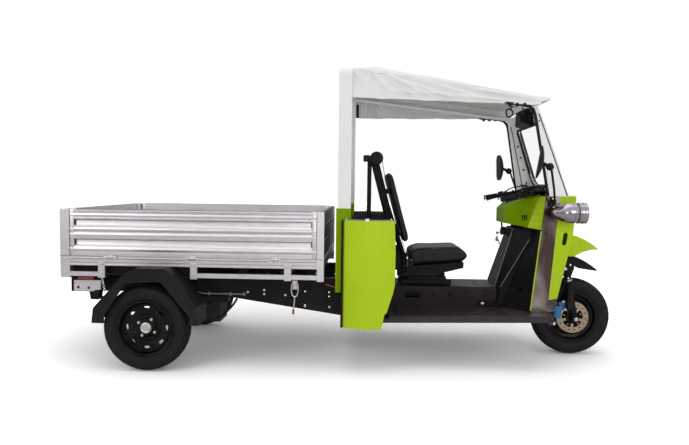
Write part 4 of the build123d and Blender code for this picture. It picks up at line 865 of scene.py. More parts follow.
piece(
    "ignition_lock",
    [
        slab((2.322, -0.088, 0.826), (2.38, 0.052, 0.872), 0.01, 3),
        drum((2.33, -0.052, 0.858), (2.286, -0.052, 0.851), 0.019, 24, 0.003),
        slab((2.306, 0.004, 0.836), (2.34, 0.046, 0.884), 0.006, 3),
        wire([(2.318, 0.03, 0.88), (2.3, 0.04, 0.92), (2.34, 0.03, 0.95)], 0.006, 3)], plastic)
piece(
    "ignition_keys",
    [
        drum((2.292, -0.052, 0.852), (2.272, -0.052, 0.8485), 0.0035, 10),
        plate(
            at_y(-0.054, (2.274, 0.842), (2.262, 0.838), (2.254, 0.846), (2.258, 0.857), (2.272, 0.857)),
            (0, 0.004, 0), 0.001),
        wire(
            [
                (2.262, -0.052, 0.846), (2.252, -0.055, 0.834), (2.256, -0.057, 0.822),
                (2.268, -0.055, 0.824), (2.27, -0.052, 0.838), (2.262, -0.052, 0.846)], 0.0014, 2),
        plate(
            at_y(
                -0.058, (2.258, 0.822), (2.268, 0.82), (2.276, 0.796), (2.284, 0.77), (2.278, 0.766),
                (2.266, 0.792)), (0, 0.003, 0), 0.0008),
        plate(
            at_y(-0.062, (2.254, 0.822), (2.262, 0.822), (2.268, 0.792), (2.258, 0.788), (2.248, 0.796)),
            (0, 0.003, 0), 0.0008)], dark_alloy_and_painted_light)

pair(
    "nose_lips",
    [plate(
        at_y(
            -0.388, (2.4105, 0.372), (2.419, 0.372), (2.469, 0.862), (2.4715, 0.886), (2.464, 0.886),
            (2.461, 0.862)), (0, 0.007, 0), 0.0015)], lime)
panel_arc = [(1.213, -0.57), (1.29, -0.6125), (1.372, -0.627), (1.456, -0.616), (1.531, -0.596)]
pair("panel_rear_trims", [slab((1.1995, -0.586, 0.284), (1.2135, -0.557, 0.951), 0.003)], black)
pair("panel_trims", [wire([(x, y, 0.951) for x, y in panel_arc], 0.0065, 3)], dark_alloy_and_painted_light)
clips = [
    drum((x, y, 0.95), (x, y, 0.9625), 0.007, 14, 0.0015)
    for x, y in ((1.232, -0.572), (1.352, -0.618), (1.502, -0.6))]
clips.append(slab((1.344, -0.633, 0.942), (1.37, -0.623, 0.964), 0.003))
pair("lid_catches", clips, zinc)
seam = slab((1.262, -0.54, 0.95), (1.51, 0.54, 0.953), 0.0012)
handle = wire(
    [(1.37, -0.06, 0.952), (1.37, -0.052, 0.974), (1.37, 0.052, 0.974), (1.37, 0.06, 0.952)], 0.0055, 3)
piece("lid_mat", [seam, handle], matt_black)


def ribbon(path, width, thickness):
    """A strap that runs along a side path of (x, z), its width across the vehicle."""
    top, low = [], []
    for index, (x, z) in enumerate(path):
        before, after = path[max(0, index - 1)], path[min(len(path) - 1, index + 1)]
        run = Vector((after[0] - before[0], after[1] - before[1])).normalized() * (thickness / 2)
        top.append((x - run.y, width[0], z + run.x))
        low.append((x + run.y, width[0], z - run.x))
    return plate(top + low[::-1], (0, width[1] - width[0], 0))


strap_path = [
    (1.452, 1.345), (1.456, 1.3), (1.476, 1.19), (1.512, 1.06), (1.556, 0.91), (1.606, 0.756),
    (1.652, 0.642)]
strap = ribbon(strap_path, (-0.268, -0.222), 0.0026)
second = ribbon([(1.648, 0.638), (1.634, 0.6), (1.616, 0.584)], (-0.266, -0.224), 0.0026)
webbing = grained_vinyl("belt_webbing", (0.03, 0.028, 0.03))
piece("belt_webbing_straps", [strap, second], webbing)
piece(
    "belt_fittings",
    [
        slab((1.638, -0.272, 0.624), (1.668, -0.218, 0.672), 0.007, 3),
        turned(
            [(0.0, 0.012), (0.0, 0.04), (0.004, 0.0435), (0.01, 0.042), (0.013, 0.03), (0.013, 0.012)],
            (1.414, -0.252, 1.346), 36, (0, -1, 0)),
        turned(
            [(0.0, 0.0001), (0.0, 0.013), (0.009, 0.011), (0.009, 0.0001)], (1.414, -0.262, 1.346), 20,
            (0, -1, 0)), slab((1.326, -0.246, 1.322), (1.372, -0.214, 1.366), 0.008, 3)], plastic)
piece("belt_button", [slab((1.648, -0.26, 0.67), (1.66, -0.23, 0.6755), 0.002)], red_lens)

# Painted shade: dark discs and a dark square on the seat base, for the shade inside its holes and recess
holes = [
    stud(x, z, -0.214, -0.2162, radius, sides, 0.0006)
    for x, z, radius, sides in (
        (1.65, 0.59, 0.013, 24), (1.699, 0.589, 0.006, 16), (1.842, 0.612, 0.009, 20),
        (1.985, 0.634, 0.0095, 20))]
holes.append(slab((1.734, -0.2162, 0.572), (1.756, -0.214, 0.595), 0.0006))
pair("seat_base_hole_shades", holes, grip_rubber)
pair(
    "seat_sliders",
    [
        slab((1.6, -0.18, 0.5), (1.936, -0.152, 0.53), 0.004),
        slab((1.64, -0.176, 0.528), (1.9, -0.156, 0.552), 0.003)], black)


def floor_z(x):
    return 0.334 + (x - 1.258) * 0.0208


def mat_piece(x0, x1, y0, y1, low, high):
    return plate(
        at_y(
            y0, (x0, floor_z(x0) + low), (x1, floor_z(x1) + low), (x1, floor_z(x1) + high),
            (x0, floor_z(x0) + high)), (0, y1 - y0, 0), 0.001, 1)


mat = [mat_piece(1.54, 2.255, -0.462, -0.186, -0.0005, 0.003)]
for index in range(12):
    y = -0.45 + index * 0.0225
    mat.append(mat_piece(1.556, 2.24, y, y + 0.008, 0.0025, 0.0055))
pair("foot_mats", mat, lit_floor_black)


# Canopy: hook tape, seams and hems, and painted shade on the hanging side's inner face

def valance(x, share, inside=0.0):
    """A point of the left hanging side at x, from its lower edge up, moved inwards."""
    place = canopy_point(x, 1 - share * 0.28)
    return (place.x, place.y - inside, place.z)


def valance_strip(x0, x1, low, high, proud):
    """A strip sewn to the inside of the left hanging side."""
    corners = [
        valance(x0, low, proud), valance(x1, low, proud), valance(x1, high, proud),
        valance(x0, high, proud)]
    return plate(corners, (0, 0.002, 0), 0.0008, 1)


pair("hook_tapes", [valance_strip(1.262, 1.28, 0.02, 0.97, 0.0075)], black)
# Painted shade: these strips and cords on the inner face take the grey cloth, for the shade in its folds
# and along its hem
patches = [valance_strip(1.338, 1.424, 0.03, 0.96, 0.006), valance_strip(1.284, 1.3, 0.02, 0.97, 0.0055)]
patches += [
    wire([valance(x, 0.03, 0.0066), valance(x, 0.5, 0.0066), valance(x, 0.95, 0.0066)], 0.0022, 2)
    for x in (1.318, 1.352, 1.41)]
patches.append(wire([valance(x, 0.085, 0.0056) for x in (1.3, 1.6, 1.9, 2.2, 2.33)], 0.002, 2))
pair("canopy_linings", patches, shaded_lining)

# Tray gates, fittings and lashing points

GATE_PLANE = 0.6
# A plank gate's outer face: depth behind the outer plane, and height
FACE = [
    (0.002, 0.707), (0.0, 0.71), (0.0, 0.728), (0.004, 0.732), (0.004, 0.736), (0.0, 0.74), (-0.0035, 0.75),
    (-0.001, 0.76), (0.001, 0.7655), (0.0, 0.7675), (0.007, 0.7765), (0.009, 0.78), (0.009, 0.8115),
    (0.0, 0.813), (-0.001, 0.816), (0.001, 0.826), (-0.0035, 0.84), (0.0, 0.851), (0.003, 0.855),
    (0.006, 0.858), (0.003, 0.861), (0.0, 0.865), (-0.003, 0.874), (0.001, 0.886), (0.0, 0.8895),
    (0.007, 0.8985), (0.009, 0.902), (0.009, 0.9335), (0.0, 0.935), (-0.001, 0.938), (0.001, 0.948),
    (-0.004, 0.961), (0.0, 0.972), (0.005, 0.976), (0.005, 0.98), (0.0, 0.984), (0.0, 0.993),
    (0.003, 0.996)]


def plank_gate(start, length, turn):
    """A drop side of three hollow planks with end caps, drawn for the left and turned."""
    back = [(0.028, z) for z in (0.996, 0.975, 0.858, 0.735, 0.707)]
    face = plate([(start, GATE_PLANE - deep, z) for deep, z in FACE + back], (length, 0, 0))
    for x in (start, start + length - 0.026):
        cap = slab((x, GATE_PLANE - 0.0285, 0.7065), (x + 0.026, GATE_PLANE + 0.0015, 0.9965), 0.002)
        face = joined([face, cap])
    for index in range(3):
        x = start + length * (2 * index + 1) / 6
        knuckle = drum((x - 0.019, 0.608, 0.702), (x + 0.019, 0.608, 0.702), 0.006, 16, 0.001)
        leaf = slab((x - 0.019, 0.599, 0.7075), (x + 0.019, 0.6085, 0.716), 0.0015)
        face = joined([face, knuckle, leaf])
    only(face)
    if turn:
        face.location = (-0.547 + 0.6 + REAR_AXLE_X, -REAR_AXLE_X, 0)
        face.rotation_euler = (0, 0, pi / 2)
        settle(face)
    return smooth(face, 30)


SIDE_START, SIDE_LENGTH = -0.482, 1.53
left_gate = plank_gate(SIDE_START, SIDE_LENGTH, False)
right_gate = mirrored(left_gate)
piece("left_gate_planks", [left_gate], tray_alloy, "side_gate_left", replaces="side_gate_left")
piece("right_gate_planks", [right_gate], tray_alloy, "side_gate_right", replaces="side_gate_right")
piece("tailgate_planks", [plank_gate(-0.535, 1.07, True)], tray_alloy, "tailgate", replaces="tailgate")

for side, body in ((1, "side_gate_left"), (-1, "side_gate_right")):
    # Painted shade: dark blocks at the ends of the gate grooves, for the shade in the slits there
    piece(
        body + "_groove_end_shades",
        [
            slab((x, side * 0.596 - 0.0055, low), (x + 0.0065, side * 0.596 + 0.0035, high), 0.001, 1)
            for x in (-0.4565, 1.0165) for low, high in ((0.7795, 0.8125), (0.9015, 0.9345))], grip_rubber,
        body)
    catches = [
        slab((x, side * 0.585 - 0.004, 0.99), (x + 0.03, side * 0.585 + 0.004, 1.0), 0.002)
        for x in (-0.474, 1.01)]
    catches += [
        stud(x, z, side * 0.601, side * 0.6035, 0.0042, 12, 0.001) for x in (-0.469, 1.035)
        for z in (0.722, 0.755, 0.858, 0.96, 0.983)]
    piece(body + "_catches", catches, zinc, body)

RAIL_REAR, RAIL_FRONT = -0.487, 1.053
post_bits = []
for x, z in (
    (-0.517, 0.983), (-0.517, 0.727), (-0.517, 0.684), (-0.517, 0.6), (1.081, 0.98), (1.081, 0.7),
    (1.081, 0.61)):
    post_bits.append(stud(x, z, -0.5995, -0.605, 0.0065, 6, 0.001))
for x in (-0.287, 0.29, 0.873):
    for z in (0.656, 0.6):
        post_bits.append(stud(x, z, -0.6025, -0.608, 0.0075, 6, 0.0012))
    post_bits.append(slab((x - 0.024, -0.6055, 0.664), (x + 0.024, -0.599, 0.672), 0.0015))
post_bits.append(slab((RAIL_REAR, -0.603, 0.65), (RAIL_FRONT, -0.599, 0.656), 0.0015))
post_bits.append(slab((RAIL_REAR, -0.6035, 0.69), (RAIL_FRONT, -0.599, 0.698), 0.0015))
pair("tray_fixings", post_bits, tray_alloy)
pair(
    "post_splits",
    [
        slab((x0, -0.6008, 0.7045), (x1, -0.599, 0.707), 0.0)
        for x0, x1 in ((-0.547, -0.488), (1.054, 1.094))], grip_rubber)

pair("lamp_plates", [slab((-0.503, -0.5225, 0.47), (-0.329, -0.5195, 0.541), 0.002)], tray_alloy)
# Painted shade: black discs in the lamp plate's holes, and an upper black sheet behind the slot between the
# tie rail and the frame; the lower black strip sits above the lamp plate
plate_holes = [stud(x, z, -0.5222, -0.5232, 0.0085, 18) for x, z in ((-0.474, 0.495), (-0.407, 0.492))]
harness_and_slot_shade = [
    slab((-0.486, -0.548, 0.596), (-0.31, -0.533, 0.646), 0.003),
    slab((-0.5, -0.524, 0.542), (-0.322, -0.5195, 0.572), 0.002)]
pair("lamp_backings_and_slot_shade", plate_holes + harness_and_slot_shade, black)
pair("side_lens_faces", [slab((-0.455, -0.529, 0.5455), (-0.372, -0.5235, 0.566), 0.003)], red_lens)
links = []
for index in range(6):
    z = 0.598 - index * 0.019
    x = -0.296 + 0.004 * index
    tilt = 0.004 if index % 2 else 0.0
    links.append(wire(
        [
            (x, -0.585 + tilt, z), (x + 0.008, -0.585 - tilt, z - 0.01), (x, -0.585 + tilt, z - 0.021),
            (x - 0.008, -0.585 - tilt, z - 0.01), (x, -0.585 + tilt, z)], 0.0026, 2))
links.append(stud(-0.322, 0.478, -0.59, -0.57, 0.013, 20, 0.003))
piece("tail_catch_links", links, zinc)
piece("rear_rubber_block", [slab((-0.34, -0.598, 0.458), (-0.306, -0.56, 0.49), 0.005)], grip_rubber)

pair(
    "side_latches",
    [
        slab((0.904, -0.612, 0.522), (0.936, -0.6, 0.576), 0.003),
        slab((0.908, -0.618, 0.545), (0.932, -0.608, 0.566), 0.004),
        wire(
            [
                (0.902, -0.614, 0.56), (0.896, -0.616, 0.52), (0.908, -0.616, 0.478),
                (0.932, -0.616, 0.478), (0.944, -0.616, 0.52), (0.938, -0.614, 0.56)], 0.0038, 3),
        wire([(0.92, -0.616, 0.48), (0.918, -0.617, 0.44), (0.913, -0.616, 0.396)], 0.0042, 3)], zinc)
pair("latch_tips", [drum((0.913, -0.616, 0.4), (0.912, -0.616, 0.37), 0.007, 14, 0.002)], red_lens)

pair(
    "beam_bolts",
    [
        stud(x, z, -0.3995, -0.4065, 0.0085, 6, 0.0015)
        for x, z in (
            (0.588, 0.462), (0.695, 0.477), (0.695, 0.45), (0.833, 0.447), (0.961, 0.377), (1.121, 0.374))],
    zinc)
pipe = [wire(
    [
        (0.18, -0.408, 0.47), (0.252, -0.41, 0.466), (0.285, -0.411, 0.448), (0.42, -0.411, 0.45),
        (0.578, -0.411, 0.45)], 0.007, 3)]
pipe += [slab((x, -0.42, 0.438), (x + 0.014, -0.399, 0.462), 0.002) for x in (0.33, 0.47, 0.56)]
pair("beam_pipes", pipe, dark_alloy_and_painted_light)
piece(
    "axle_pipe",
    [wire(
        [
            (0.516, -0.395, 0.416), (0.495, -0.395, 0.38), (0.455, -0.395, 0.335), (0.4, -0.392, 0.29),
            (0.33, -0.388, 0.262), (0.24, -0.38, 0.255)], 0.0075, 3)], plastic)
piece(
    "red_lead", [wire([(1.095, -0.4, 0.524), (1.122, -0.404, 0.512), (1.16, -0.402, 0.504)], 0.0045, 3)],
    red_lens)

# Rear wheels and mudguards


def rear_wheel_bits(side, body):
    """Cap, nuts, rolled rings and valve of one rear wheel."""
    def at(x, out, z):
        return (x, side * (REAR_TRACK_HALF + out), WHEEL_CENTRE_Z + z)
    axis = (0, side, 0)
    centre = (0.0, side * REAR_TRACK_HALF, WHEEL_CENTRE_Z)
    cap = [turned(
        [
            (0.02, 0.0001), (0.02, 0.034), (0.034, 0.036), (0.041, 0.033), (0.043, 0.027), (0.0405, 0.024),
            (0.0405, 0.018), (0.0455, 0.016), (0.0455, 0.0001)], centre, 40, axis)]
    for index in range(4):
        angle = pi / 4 + index * pi / 2 + 0.25
        x, z = 0.058 * cos(angle), 0.058 * sin(angle)
        cap.append(drum(at(x, 0.01, z), at(x, 0.027, z), 0.0125, 6, 0.002, 0.01))
        cap.append(drum(at(x, 0.024, z), at(x, 0.034, z), 0.0055, 14, 0.001))
    piece(body + "_cap_and_nuts", cap, zinc, body)
    rings = [
        turned(
            [
                (0.0, radius), (0.0, radius + 0.007), (deep, radius + 0.007),
                (deep + 0.003, radius + 0.0035), (deep, radius)], centre, 64, axis)
        for radius, deep in ((0.078, 0.016), (0.146, 0.03), (0.16, 0.052))]
    rings.append(drum(at(0.118, 0.012, -0.08), at(0.128, 0.04, -0.088), 0.005, 12, 0.001))
    for index in range(8):
        angle = 2 * pi * index / 8 + pi / 8
        x, z = 0.128 * cos(angle), 0.128 * sin(angle)
        rings.append(drum(at(x, 0.014, z), at(x, 0.021, z), 0.011, 20, 0.003, 0.007))
    piece(body + "_rings", rings, black_gloss, body)


rear_wheel_bits(1, "rear_wheel_left")
rear_wheel_bits(-1, "rear_wheel_right")
piece(
    "sidewall_ring",
    [turned([(0.0, 0.19), (0.0, 0.193), (0.0015, 0.1915)], (0.0, -0.6625, WHEEL_CENTRE_Z), 64, (0, -1, 0))],
    tyre_rubber, "rear_wheel_right")

GUARD_OUT = [
    (-0.303, 0.318), (-0.293, 0.4), (-0.109, 0.602), (-0.036, 0.643), (0.146, 0.643), (0.19, 0.609),
    (0.33, 0.413), (0.341, 0.318)]
GUARD_IN = [(-0.236, 0.318), (-0.236, 0.356), (-0.1, 0.56), (0.118, 0.572), (0.3, 0.355), (0.3, 0.318)]


def mid_line(share):
    """A line on the skirt between its inner and outer outlines."""
    pairs = [(0, 0), (1, 1), (2, 2), (4, 3), (6, 4), (7, 5)]
    return [tuple(GUARD_OUT[a][n] * share + GUARD_IN[b][n] * (1 - share) for n in (0, 1)) for a, b in pairs]


pair(
    "guard_beads",
    [
        wire([(x, -0.6985, z) for x, z in GUARD_OUT], 0.005, 3, 2),
        wire([(x, -0.6965, z) for x, z in GUARD_IN], 0.0055, 3, 2),
        wire([(x, -0.6985, z) for x, z in mid_line(0.62)], 0.006, 3, 3)], plastic)

# Front wheel, brake and fork

hub = (WHEELBASE, 0.0, WHEEL_CENTRE_Z)
FORK_AXIS = (-sin(radians(22)), 0, cos(radians(22)))
dish = turned(
    [(-0.03, 0.1615), (-0.036, 0.15), (-0.03, 0.132), (-0.022, 0.128), (-0.02, 0.132), (-0.026, 0.1615)],
    hub, 72)
dish_ring = turned([(0.012, 0.128), (0.012, 0.162), (0.018, 0.162), (0.018, 0.128)], hub, 72)
hub_cover = turned(
    [(-0.0712, 0.018), (-0.0712, 0.046), (-0.076, 0.043), (-0.08, 0.034), (-0.08, 0.018)], hub, 40)
rim_web = stud(WHEELBASE, WHEEL_CENTRE_Z, 0.01, 0.015, 0.13, 64)
piece("front_rim_dish", [dish, dish_ring, hub_cover, rim_web], black_gloss, "front_wheel")
disc_bits = [
    turned([(-0.0745, 0.1065), (-0.0745, 0.1098), (-0.0655, 0.1098), (-0.0655, 0.1065)], hub, 72),
    turned([(-0.0722, 0.076), (-0.0722, 0.08), (-0.0705, 0.08), (-0.0705, 0.076)], hub, 72)]
for index in range(5):
    angle = 2 * pi * index / 5 + 0.4
    x, z = (WHEELBASE + 0.058 * cos(angle), WHEEL_CENTRE_Z + 0.058 * sin(angle))
    disc_bits.append(stud(x, z, -0.0705, -0.0765, 0.0055, 6, 0.001))
piece("disc_fittings", disc_bits, disc_steel, "front_wheel")

piece(
    "front_axle_fasteners",
    [
        stud(WHEELBASE, WHEEL_CENTRE_Z, -0.137, -0.15, 0.015, 6, 0.002),
        stud(WHEELBASE, WHEEL_CENTRE_Z, -0.148, -0.155, 0.008, 16, 0.002),
        stud(2.72, 0.379, -0.0955, -0.106, 0.0105, 6, 0.0015),
        stud(2.734, 0.327, -0.0955, -0.106, 0.0105, 6, 0.0015),
        drum((2.684, -0.07, 0.352), (2.68, -0.07, 0.37), 0.0042, 12, 0.001),
        stud(2.686, 0.3, -0.096, -0.101, 0.006, 12, 0.001)], zinc, "steering")
piece(
    "caliper_casting",
    [
        slab((2.668, -0.101, 0.318), (2.706, -0.095, 0.348), 0.0025),
        slab((2.67, -0.101, 0.266), (2.706, -0.095, 0.292), 0.0025),
        stud(2.686, 0.306, -0.094, -0.103, 0.017, 24, 0.003)], blue, "steering")

stay_outline = [
    (2.716, 0.664), (2.778, 0.664), (2.776, 0.612), (2.758, 0.56), (2.752, 0.52), (2.722, 0.52),
    (2.724, 0.56), (2.712, 0.62)]
stays = [
    plate([(x, -0.118, z) for x, z in stay_outline], (0, -0.008, 0), 0.003, 2),
    slab((2.735, -0.12, 0.65), (2.772, -0.07, 0.662), 0.003),
    slab((2.735, -0.133, 0.33), (2.782, -0.085, 0.47), 0.012, 3),
    wire(
        [
            (2.704, -0.0, 0.673), (2.745, 0.0, 0.694), (2.79, 0.0, 0.692), (2.87, 0.0, 0.661),
            (2.936, 0.0, 0.62), (2.972, 0.0, 0.592)], 0.0045, 3)]
stays += [
    turned(
        [(0.0, 0.016), (0.0, 0.0265), (0.008, 0.0265), (0.008, 0.016)], (x, -0.108, z), 28,
        FORK_AXIS) for x, z in ((2.754, 0.506), (2.7, 0.64))]
piece("fork_fittings", stays, plastic, "steering")
pair(
    "spring_bolts",
    [
        stud(2.746, 0.64, -0.1255, -0.134, 0.0085, 6, 0.0015),
        stud(2.738, 0.546, -0.1255, -0.134, 0.0085, 6, 0.0015),
        stud(2.716, 0.612, -0.1255, -0.136, 0.01, 16, 0.002),
        turned(
            [(0.0, 0.018), (0.0, 0.0285), (0.01, 0.0285), (0.01, 0.018)], (2.742, -0.108, 0.538), 28,
            FORK_AXIS)], zinc, "steering")
piece(
    "front_brake_pipe",
    [wire(
        [
            (2.69, -0.098, 0.35), (2.672, -0.112, 0.392), (2.69, -0.128, 0.45), (2.716, -0.13, 0.52),
            (2.704, -0.128, 0.59), (2.69, -0.12, 0.64)], 0.0045, 3)], plastic, "steering")

# Handlebar controls

def control_set(side):
    """Clamp, switch block, lever, reservoir and leads of one end of the handlebar."""
    def at(x, y, z):
        return (x, side * y, z)
    parts = [
        drum(at(2.2405, 0.2815, 1.0865), at(2.2325, 0.283, 1.085), 0.0195, 20, 0.003),
        drum(at(2.334, 0.268, 1.107), at(2.374, 0.26, 1.115), 0.023, 18, 0.005),
        drum(at(2.38, 0.256, 1.112), at(2.398, 0.248, 1.118), 0.023, 18, 0.003),
        slab((2.342, side * 0.262 - 0.02, 1.092), (2.372, side * 0.262 + 0.02, 1.118), 0.005),
        wire(
            [
                at(2.398, 0.26, 1.108), at(2.38, 0.279, 1.102), at(2.335, 0.295, 1.091),
                at(2.29, 0.301, 1.077), at(2.262, 0.301, 1.07)], 0.006, 3),
        drum(at(2.27, 0.301, 1.072), at(2.258, 0.301, 1.068), 0.0085, 16, 0.003),
        slab((2.388, side * 0.262 - 0.016, 1.098), (2.416, side * 0.262 + 0.016, 1.113), 0.004),
        wire(
            [
                at(2.372, 0.25, 1.122), at(2.4, 0.24, 1.15), at(2.45, 0.2, 1.172), at(2.52, 0.12, 1.176),
                at(2.58, 0.04, 1.16)], 0.0042, 3),
        wire(
            [
                at(2.412, 0.256, 1.106), at(2.44, 0.225, 1.122), at(2.49, 0.15, 1.158),
                at(2.56, 0.07, 1.17), at(2.596, 0.03, 1.13)], 0.0048, 3),
        wire(
            [at(2.37, 0.262, 1.104), at(2.41, 0.246, 1.112), at(2.46, 0.196, 1.118), at(2.52, 0.13, 1.128)],
            0.0036, 3)]
    for x, y, z in ((2.43, 0.213, 1.128), (2.48, 0.176, 1.139), (2.53, 0.113, 1.143)):
        parts.append(drum(at(x - 0.006, y + 0.003, z), at(x + 0.006, y - 0.003, z), 0.0165, 14, 0.001))
    return parts


controls = control_set(1) + control_set(-1)
controls += [
    drum((2.4, -0.246, 1.128), (2.398, -0.25, 1.158), 0.02, 24, 0.003),
    slab((2.376, -0.272, 1.156), (2.422, -0.226, 1.166), 0.004, 3),
    slab((2.44, -0.058, 1.176), (2.462, 0.058, 1.184), 0.003),
    wire([(2.54, -0.05, 1.126), (2.5, -0.15, 1.118), (2.45, -0.2, 1.112), (2.44, -0.15, 1.108)], 0.006, 3)]
piece("bar_controls", controls, plastic, "steering")
bright_bits = [
    drum((2.402, side * 0.262, 1.111), (2.402, side * 0.262, 1.118), 0.0065, 6, 0.001) for side in (1, -1)]
bright_bits += [
    drum((x, side * y, z), (x - 0.006, side * (y + 0.002), z + 0.001), 0.0045, 12, 0.001)
    for side in (1, -1)
    for x, y, z in ((2.384, 0.262, 1.096), (2.334, 0.274, 1.098), (2.352, 0.286, 1.098))]
bright_bits += [drum((2.578, y, 1.15), (2.574, y, 1.16), 0.0065, 6, 0.001) for y in (-0.02, 0.02)]
piece("bar_fasteners", bright_bits, zinc, "steering")
piece(
    "stop_switch", [drum((2.338, 0.25, 1.082), (2.33, 0.25, 1.076), 0.008, 18, 0.002)], red_lens,
    "steering")
piece(
    "instrument_face",
    [plate(
        [(2.4505, y, z) for y, z in ((-0.05, 1.132), (0.05, 1.132), (0.05, 1.154), (-0.05, 1.154))],
        (-0.0018, 0, 0), 0.0005)], dark_alloy_and_painted_light, "steering")

# Lamps, nose fittings, painted highlights on the column folds, and boards

LAMP_CENTRE = (-0.4551, 1.008)
lamp_rings = []
for x, radius in ((2.64, 0.0655), (2.668, 0.066), (2.696, 0.0665), (2.712, 0.065)):
    lamp_rings.append(turned(
        [
            (-0.005, radius - 0.005), (-0.004, radius - 0.001), (0.0, radius), (0.004, radius - 0.001),
            (0.005, radius - 0.005)], (x, *LAMP_CENTRE), 48, (1, 0, 0)))
pair("pod_rings", lamp_rings, chrome)
pair(
    "reflectors",
    [turned(
        [
            (-0.03, 0.0001), (-0.03, 0.016), (-0.004, 0.05), (-0.006, 0.052), (-0.034, 0.018),
            (-0.034, 0.0001)], (2.694, *LAMP_CENTRE), 40, (1, 0, 0))], chrome)

pair(
    "mirror_clamps",
    [
        slab((2.52, -0.4, 1.058), (2.552, -0.388, 1.104), 0.004),
        slab((2.522, -0.396, 1.03), (2.548, -0.389, 1.06), 0.004)], plastic)
pair(
    "mirror_clamp_bolts",
    [
        stud(x, z, -0.399, -0.405, 0.0065, 6, 0.001)
        for x, z in ((2.528, 1.094), (2.545, 1.094), (2.536, 1.068), (2.536, 1.04))], zinc)

# Painted highlight: grey metal cords along the leg shield's folds, for the bright lines where light catches
# them
pair(
    "column_fold_highlights",
    [
        wire(at_y(-0.1745, (2.2675, 0.487), (2.381, 0.6865), (2.493, 0.885)), 0.003, 2),
        wire([(2.242, -0.1235, 0.488), (2.303, -0.1065, 0.688), (2.364, -0.0895, 0.886)], 0.003, 2)],
    dark_alloy_and_painted_light)

pair(
    "board_trims",
    [
        wire(
            [
                (2.5, -0.496, 0.318), (2.53, -0.496, 0.319), (2.546, -0.48, 0.32), (2.549, -0.42, 0.32),
                (2.549, -0.2, 0.32)], 0.012, 4),
        wire(at_y(-0.4985, (1.262, 0.3325), (1.9, 0.346), (2.54, 0.359)), 0.0045, 3)], lit_board_black)
pair(
    "board_bolts",
    [stud(x, z, -0.499, -0.506, 0.009, 16, 0.002) for x, z in ((2.53, 0.318), (1.33, 0.312))], zinc)


# Painted shade lines on the gates and rails, a painted shade sheet above the guards, and lime sheets
# painted light on the dash flanks

for side, body in ((1, "side_gate_left"), (-1, "side_gate_right")):
    # Painted shade: dark strips under the lip at the top of each groove and under the gate's top edge, for
    # the shadow lines there
    lip_shadow_strips = [
        slab((-0.456, side * 0.595 - 0.0042, low), (1.022, side * 0.595 + 0.0042, low + 0.0042), 0.0)
        for low in (0.9305, 0.8085)]
    lip_shadow_strips.append(slab((-0.456, side * 0.597 - 0.0015, 0.9955), (1.022, side * 0.597 + 0.0015, 0.9985), 0.0))
    piece(body + "_seams", lip_shadow_strips, dark_alloy_and_painted_light, body)
# Painted shade: a black sheet behind the slot between the tie rail and the frame, where only shade shows
pair("guard_slot_shade_sheets", [slab((-0.305, -0.548, 0.588), (0.24, -0.534, 0.646), 0.003)], black)
# Painted shade: dark strips under the rail lips, for their shadow lines
pair(
    "rail_lip_shadows",
    [slab((RAIL_REAR, -0.6004, low), (RAIL_FRONT, -0.599, low + 0.0028), 0.0) for low in (0.6868, 0.666)],
    dark_alloy_and_painted_light)


def flank_line(share):
    """The dash flank's rear and front ends at a share of its height, just proud of it."""
    rear = (2.4095 + 0.0745 * share, -0.2785 + 0.0265 * share, 0.903 + 0.201 * share)
    return [rear, (2.4955, -0.3822, 0.89 + 0.218 * share)]


# Painted light: lime sheets laid on the dash flank, so the flank reads lit against the painted-shade lime
# of the rest of the dash
flank = []
for step in range(5):
    low, high = flank_line(step / 5), flank_line((step + 1) / 5)
    flank.append(plate([low[0], low[1], high[1], high[0]], (-0.0014, -0.0014, 0)))
pair("dash_flank_painted_light", [joined(flank)], lime)


# Camera, light and floor

PHOTO_WIDTH = 689
FOCAL_PIXELS = 582.743
SENSOR = 36.0
EYE = spot(1.3475, -4.1356, 1.1604)
YAW, PITCH, ROLL = 0.0364, -0.0601, 0.0127

ahead = Vector((-sin(YAW) * cos(PITCH), cos(YAW) * cos(PITCH), sin(PITCH)))
level = Vector((cos(YAW), sin(YAW), 0))
upward = level.cross(ahead)
across = level * cos(ROLL) + upward * sin(ROLL)
upright = upward * cos(ROLL) - level * sin(ROLL)
bpy.ops.object.camera_add(location=EYE)
camera = bpy.context.object
camera.rotation_euler = Matrix((across, upright, -ahead)).transposed().to_euler()
camera.data.sensor_width = SENSOR
camera.data.lens = FOCAL_PIXELS / PHOTO_WIDTH * SENSOR
camera.data.shift_y = -1.68 / PHOTO_WIDTH
bpy.context.scene.camera = camera


def softbox(name, place, aim, width, height, watts):
    bpy.ops.object.light_add(type="AREA", location=place)
    lamp = bpy.context.object
    lamp.name = name
    lamp.rotation_euler = (Vector(place) - Vector(aim)).to_track_quat("Z", "Y").to_euler()
    lamp.data.shape = "RECTANGLE"
    lamp.data.size = width
    lamp.data.size_y = height
    lamp.data.energy = watts


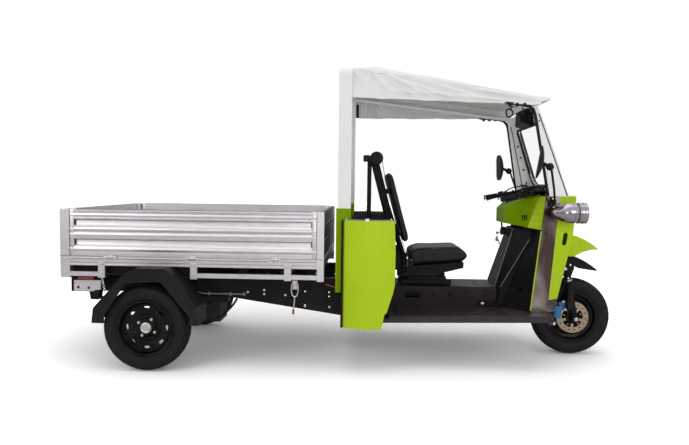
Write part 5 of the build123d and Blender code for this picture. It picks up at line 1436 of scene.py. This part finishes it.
softbox("overhead_light", (0.3, -0.6, 4.6), (0, 0, 0.6), 5.0, 3.0, 58)
softbox("camera_side_light", (3.3, -4.6, 2.1), (0.9, 0, 0.9), 2.4, 2.2, 46)
softbox("cab_light", (0.2, -4.6, 1.5), (2.4, 0.4, 1.4), 1.4, 1.4, 22)
softbox("rear_side_light", (-3.6, -3.4, 2.4), (-0.8, 0, 0.7), 1.6, 2.2, 30)

FILL, SKY_LOW, SKY_HIGH = 0.5, 0.25, 1.1
world = bpy.context.scene.world or bpy.data.worlds.new("studio")
bpy.context.scene.world = world
world.use_nodes = True
tree = world.node_tree
tree.nodes.clear()
output = tree.nodes.new("ShaderNodeOutputWorld")
rays = tree.nodes.new("ShaderNodeLightPath").outputs
direction = tree.nodes.new("ShaderNodeTexCoord").outputs["Generated"]
height = node_in("ShaderNodeSeparateXYZ", [("Vector", direction)]).outputs["Z"]
dim, plain, reflected = [tree.nodes.new("ShaderNodeBackground") for _ in range(3)]
for background in (dim, plain, reflected):
    background.inputs["Color"].default_value = (1, 1, 1, 1)
dim.inputs["Strength"].default_value = FILL
feed(reflected, "Strength", between(height, 0.0, 0.5, SKY_LOW, SKY_HIGH))
shown = plain.outputs[0]
for ray, background in (("Is Diffuse Ray", dim), ("Is Glossy Ray", reflected)):
    links = [("Fac", rays[ray]), (1, shown), (2, background.outputs[0])]
    shown = node_in("ShaderNodeMixShader", links).outputs[0]
feed(output, "Surface", shown)

bpy.ops.mesh.primitive_plane_add(size=80)
floor = bpy.context.object
floor.name = "studio_floor"
paper, paper_shader, paper_coords = finish_start("floor_paper", (0.8, 0.8, 0.8), 0.0, 0.9)
paper_shader.inputs["Specular IOR Level"].default_value = 0.0
seen = paper.node_tree.nodes.new("ShaderNodeLightPath").outputs["Is Camera Ray"]
# Painted shadow: for camera rays the floor's colour is 1.5 within 1.6 m of the middle and rises to 2.1 by
# 4.5 m, which darkens the floor round the vehicle
painted_shadow_reach = node_in(
    "ShaderNodeVectorMath", [("Vector", paper_coords)], operation="LENGTH").outputs["Value"]
shown = mixed(between(painted_shadow_reach, 1.6, 4.5, 0.0, 1.0), (1.5, 1.5, 1.5), (2.1, 2.1, 2.1))
feed(paper_shader, "Base Color", mixed(seen, (0.8, 0.8, 0.8), shown))
floor.data.materials.append(paper)

bpy.context.scene.view_settings.view_transform = "Standard"
